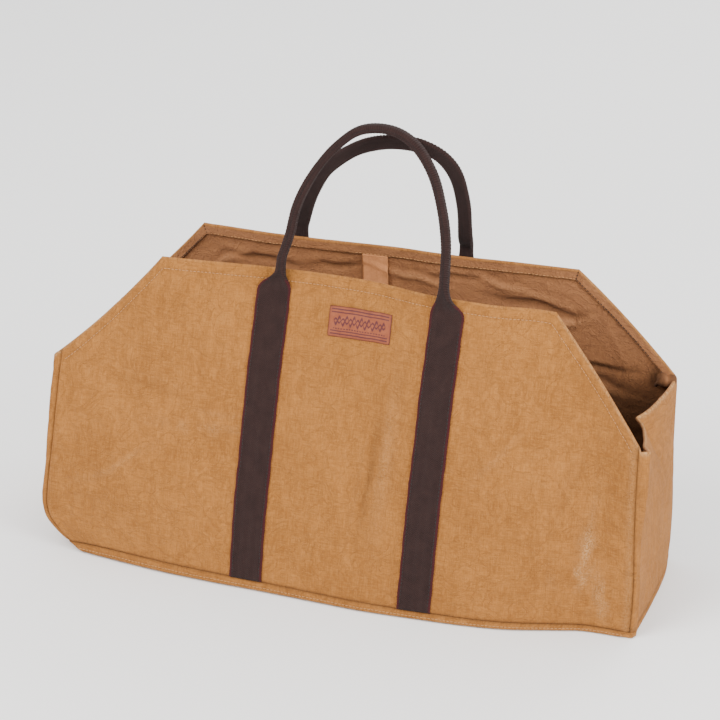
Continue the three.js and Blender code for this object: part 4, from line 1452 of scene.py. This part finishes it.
def floor_material():
    material, t, shader = new_material("pale_floor")
    cloudy = t.cloud(t.node("ShaderNodeTexCoord").outputs["Object"], 2.0, 2.0)
    pale = tone("floor_colour")
    base = t.blend(t.level(cloudy, 0.3, 0.7), shade(pale, 0.985), pale)
    t.fill(shader, {"Base Color": base, "Roughness": 0.9})
    return material


def dress(piece, material, nodes):
    piece.data.materials.append(material)
    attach(piece, "root")
    if nodes:
        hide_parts(*nodes)


def number(label, about, default, **kind):
    return bpy.props.FloatProperty(name=label, description=about, default=default, **kind)


def angle(label, about, degrees):
    return number(label, about, math.radians(degrees), subtype="ANGLE")


def length_size(label, about, default):
    return number(label, about, default, min=0.0, unit="LENGTH", precision=5)


def tint(label, about, default):
    return bpy.props.FloatVectorProperty(
        name=label, description=about, default=default, size=3, min=0.0, max=1.0, subtype="COLOR"
    )


class CarrierSizes(bpy.types.PropertyGroup):
    """Sizes of the fine forms."""

    mesh_step: length_size("Mesh step", "Spacing of the cloth's columns", 0.0028)
    wrinkle_depth: length_size("Wrinkle depth", "Depth of the washed canvas's soft relief", 0.001)
    stitch_length: length_size("Stitch length", "Length of one stitch", 0.0033)
    thread_width: length_size("Thread width", "Thickness of the sewing thread", 0.0009)
    canvas_pitch: length_size("Canvas pitch", "Spacing of the canvas's yarns", 0.0009)
    twill_pitch: length_size("Twill pitch", "Spacing of the webbing's ribs", 0.0024)


class CarrierColours(bpy.types.PropertyGroup):
    """Colours of the finishes."""

    canvas_light: tint("Canvas light", "Lighter tone of the washed canvas", (0.302, 0.1225, 0.0285))
    canvas_dark: tint("Canvas dark", "Deeper tone of the washed canvas", (0.211, 0.081, 0.018))
    canvas_slub: tint("Canvas slub", "Thick yarns in the weave", (0.352, 0.156, 0.043))
    canvas_faded: tint("Canvas faded", "Edges and creases worn pale", (0.45, 0.27, 0.13))
    canvas_inner: tint("Canvas inner", "Inner face of the canvas", (0.29, 0.132, 0.072))
    seam_dark: tint("Seam shade", "Dust and shade held in the seams", (0.06, 0.026, 0.012))
    thread_pale: tint("Pale thread", "Stitches on the canvas", (0.45, 0.215, 0.075))
    thread_dark: tint("Dark thread", "Stitches on the webbing", (0.008, 0.004, 0.0035))
    webbing_light: tint("Webbing light", "Raised ribs of the webbing", (0.0305, 0.0152, 0.0135))
    webbing_dark: tint("Webbing dark", "Grooves of the webbing", (0.008, 0.004, 0.0038))
    webbing_edge: tint("Webbing edge", "Thin selvedge of the webbing", (0.06, 0.007, 0.01))
    leather_light: tint("Leather light", "Lighter tone of the label", (0.235, 0.062, 0.022))
    leather_dark: tint("Leather dark", "Deeper tone of the label", (0.165, 0.037, 0.0125))
    leather_ink: tint("Leather ink", "Printed lines and dyed rim", (0.035, 0.004, 0.013))
    tape_light: tint("Tape light", "Raised ribs of the inner tape", (0.6, 0.255, 0.1))
    tape_dark: tint("Tape dark", "Grooves of the inner tape", (0.43, 0.175, 0.07))
    floor_colour: tint("Floor", "Pale studio floor", (0.9, 0.897, 0.893))


class CarrierStage(bpy.types.PropertyGroup):
    """Viewpoint and lights of the stage."""

    azimuth: angle("Azimuth", "Camera's turn round the carrier", 16.7)
    elevation: angle("Elevation", "Camera's height over the horizon", 24.3)
    roll: angle("Roll", "Tilt of the camera about its axis", -1.86)
    distance: length_size("Distance", "Camera's distance from the carrier's middle", 2.9)
    target_height: length_size("Target height", "Height that the camera turns about", 0.2)
    lens: number("Lens", "Focal length on a 36 mm sensor", 128.5, unit="CAMERA")
    key_power: number("Key light", "Power of the large front light", 135.0, unit="POWER")
    fill_power: number("Fill light", "Power of the side light", 88.0, unit="POWER")
    back_power: number("Back light", "Power of the light behind", 48.0, unit="POWER")
    sky_strength: number("Sky", "Strength of the even surrounding light", 1.5)


class CARRIER_OT_stage(bpy.types.Operator):
    """Camera, floor and soft studio lights"""

    bl_idname = "carrier.stage"
    bl_label = "Stage"

    def execute(self, context):
        plan = context.scene.carrier_stage
        a, e = plan.azimuth, plan.elevation
        back = Vector((math.sin(a) * math.cos(e), -math.cos(a) * math.cos(e), math.sin(e)))
        right = Vector((math.cos(a), math.sin(a), 0))
        up = right.cross(-back)
        r = right * math.cos(plan.roll) - up * math.sin(plan.roll)
        u = up * math.cos(plan.roll) + right * math.sin(plan.roll)
        data = bpy.data.cameras.new("view_camera")
        data.lens = plan.lens
        data.sensor_width = 36.0
        data.shift_x, data.shift_y = PICTURE_SHIFT
        camera = bpy.data.objects.new("view_camera", data)
        turn = Matrix((r, u, back)).transposed().to_4x4()
        place = Vector((0, 0, plan.target_height)) + back * plan.distance
        camera.matrix_world = Matrix.Translation(place) @ turn
        context.scene.collection.objects.link(camera)
        context.scene.camera = camera
        self.lights(context, plan)
        self.floor(context)
        return {"FINISHED"}

    def lights(self, context, plan):
        for name, place, size, power, colour in LIGHTS:
            data = bpy.data.lights.new(name, "AREA")
            data.shape, data.size, data.color = "DISK", size, colour
            data.energy = getattr(plan, power)
            light = bpy.data.objects.new(name, data)
            light.location = place
            light.rotation_mode = "QUATERNION"
            light.rotation_quaternion = (LIT_POINT - Vector(place)).to_track_quat("-Z", "Y")
            context.scene.collection.objects.link(light)
        world = bpy.data.worlds.new("soft_sky")
        world.use_nodes = True
        sky = world.node_tree.nodes["Background"]
        sky.inputs[0].default_value = (1.0, 1.0, 1.0, 1.0)
        sky.inputs[1].default_value = plan.sky_strength
        context.scene.world = world

    def floor(self, context):
        s = np.linspace(-FLOOR_HALF, FLOOR_HALF, 13)
        x, y = patch_grid(s, s)
        points = np.stack([x, y, 0 * x - FLOOR_DROP], -1).reshape(-1, 3)
        floor = make_mesh("floor", points, strip_faces(13, 13).tolist())
        floor.data.materials.append(floor_material())


class CARRIER_OT_front_panel(bpy.types.Operator):
    """Front canvas panel with its turned-in hems"""

    bl_idname = "carrier.front_panel"
    bl_label = "Front panel"

    def execute(self, context):
        piece = panel_piece("front_canvas", FRONT)
        nodes = ("front_panel", "front_hem_top", "front_hem_left", "front_hem_right")
        dress(piece, canvas(), nodes)
        return {"FINISHED"}


class CARRIER_OT_rear_panel(bpy.types.Operator):
    """Rear canvas panel with its turned-in hems"""

    bl_idname = "carrier.rear_panel"
    bl_label = "Rear panel"

    def execute(self, context):
        piece = panel_piece("rear_canvas", REAR)
        nodes = ("rear_panel", "rear_hem_top", "rear_hem_left", "rear_hem_right")
        dress(piece, canvas(), nodes)
        return {"FINISHED"}


class CARRIER_OT_gussets(bpy.types.Operator):
    """The two creased canvas ends"""

    bl_idname = "carrier.gussets"
    bl_label = "Gussets"

    def execute(self, context):
        for name, end in (("left", LEFT), ("right", RIGHT)):
            piece = gusset_piece(name + "_end_canvas", end)
            dress(piece, canvas(), (name + "_gusset",))
        dress(tab_piece("corner_fold"), canvas(), ())
        return {"FINISHED"}


class CARRIER_OT_bottom(bpy.types.Operator):
    """Canvas bottom with its rounded rim"""

    bl_idname = "carrier.bottom"
    bl_label = "Bottom"

    def execute(self, context):
        dress(bottom_piece("bottom_canvas"), canvas(), ("bottom_panel",))
        return {"FINISHED"}


class CARRIER_OT_webbing(bpy.types.Operator):
    """Two lengths of webbing: straps folded into handles"""

    bl_idname = "carrier.webbing"
    bl_label = "Webbing"

    def execute(self, context):
        material = webbing_material()
        for name, side in (("front", FRONT), ("rear", REAR)):
            piece = webbing_piece(name + "_strap_and_handle", side)
            dress(piece, material, (name + "_webbing",))
        return {"FINISHED"}


class CARRIER_OT_label(bpy.types.Operator):
    """Leather patch with a plain printed border and scroll"""

    bl_idname = "carrier.label"
    bl_label = "Label"

    def execute(self, context):
        dress(label_piece("leather_patch"), leather_material(), ("label_patch",))
        return {"FINISHED"}


class CARRIER_OT_tape(bpy.types.Operator):
    """Tab of woven tape inside the rear panel"""

    bl_idname = "carrier.tape"
    bl_label = "Inner tape"

    def execute(self, context):
        dress(tape_piece("woven_tab"), tape_material(), ("inner_tape",))
        return {"FINISHED"}


class CARRIER_OT_stitching(bpy.types.Operator):
    """Rows of thread on the hems, bottom seam and straps"""

    bl_idname = "carrier.stitching"
    bl_label = "Stitching"

    def execute(self, context):
        pale = thread_material("pale_thread", "thread_pale")
        dark = thread_material("dark_thread", "thread_dark")
        dress(stitch_mesh("canvas_stitching", thread_lines()), pale, ())
        dress(stitch_mesh("strap_stitching", strap_lines()), dark, ())
        # Dark thread on the mitres and on the chamfer ends of the inner hems, set there as painted
        # shadow lines along the facings' folds.
        inner = mitre_lines()
        for side in (FRONT, REAR):
            inner += hem_lines(side, INNER_STITCH, -FOLD_THICKNESS, inward=True)[::2]
        dress(stitch_mesh("inner_seams", inner), dark, ())
        return {"FINISHED"}


STEPS = (
    CARRIER_OT_stage,
    CARRIER_OT_front_panel,
    CARRIER_OT_rear_panel,
    CARRIER_OT_gussets,
    CARRIER_OT_bottom,
    CARRIER_OT_webbing,
    CARRIER_OT_label,
    CARRIER_OT_tape,
    CARRIER_OT_stitching,
)


GROUPS = {
    "carrier_sizes": CarrierSizes,
    "carrier_colours": CarrierColours,
    "carrier_stage": CarrierStage,
}


class VIEW3D_PT_log_carrier(bpy.types.Panel):
    """Steps and sizes of the log carrier"""

    bl_label = "Log carrier"
    bl_space_type = "VIEW_3D"
    bl_region_type = "UI"
    bl_category = "Log carrier"

    def draw(self, context):
        for step in STEPS:
            self.layout.operator(step.bl_idname)
        for group_name in GROUPS:
            values = getattr(context.scene, group_name)
            box = self.layout.box()
            for key in values.bl_rna.properties.keys():
                if key not in ("rna_type", "name"):
                    box.prop(values, key)


def register():
    for name, kind in GROUPS.items():
        bpy.utils.register_class(kind)
        setattr(bpy.types.Scene, name, bpy.props.PointerProperty(type=kind))
    for kind in (*STEPS, VIEW3D_PT_log_carrier):
        bpy.utils.register_class(kind)


def unregister():
    for kind in (VIEW3D_PT_log_carrier, *reversed(STEPS)):
        bpy.utils.unregister_class(kind)
    for name, kind in GROUPS.items():
        delattr(bpy.types.Scene, name)
        bpy.utils.unregister_class(kind)


def main():
    register()
    for step in STEPS:
        family, name = step.bl_idname.split(".")
        getattr(getattr(bpy.ops, family), name)()


if __name__ == "__main__":
    main()
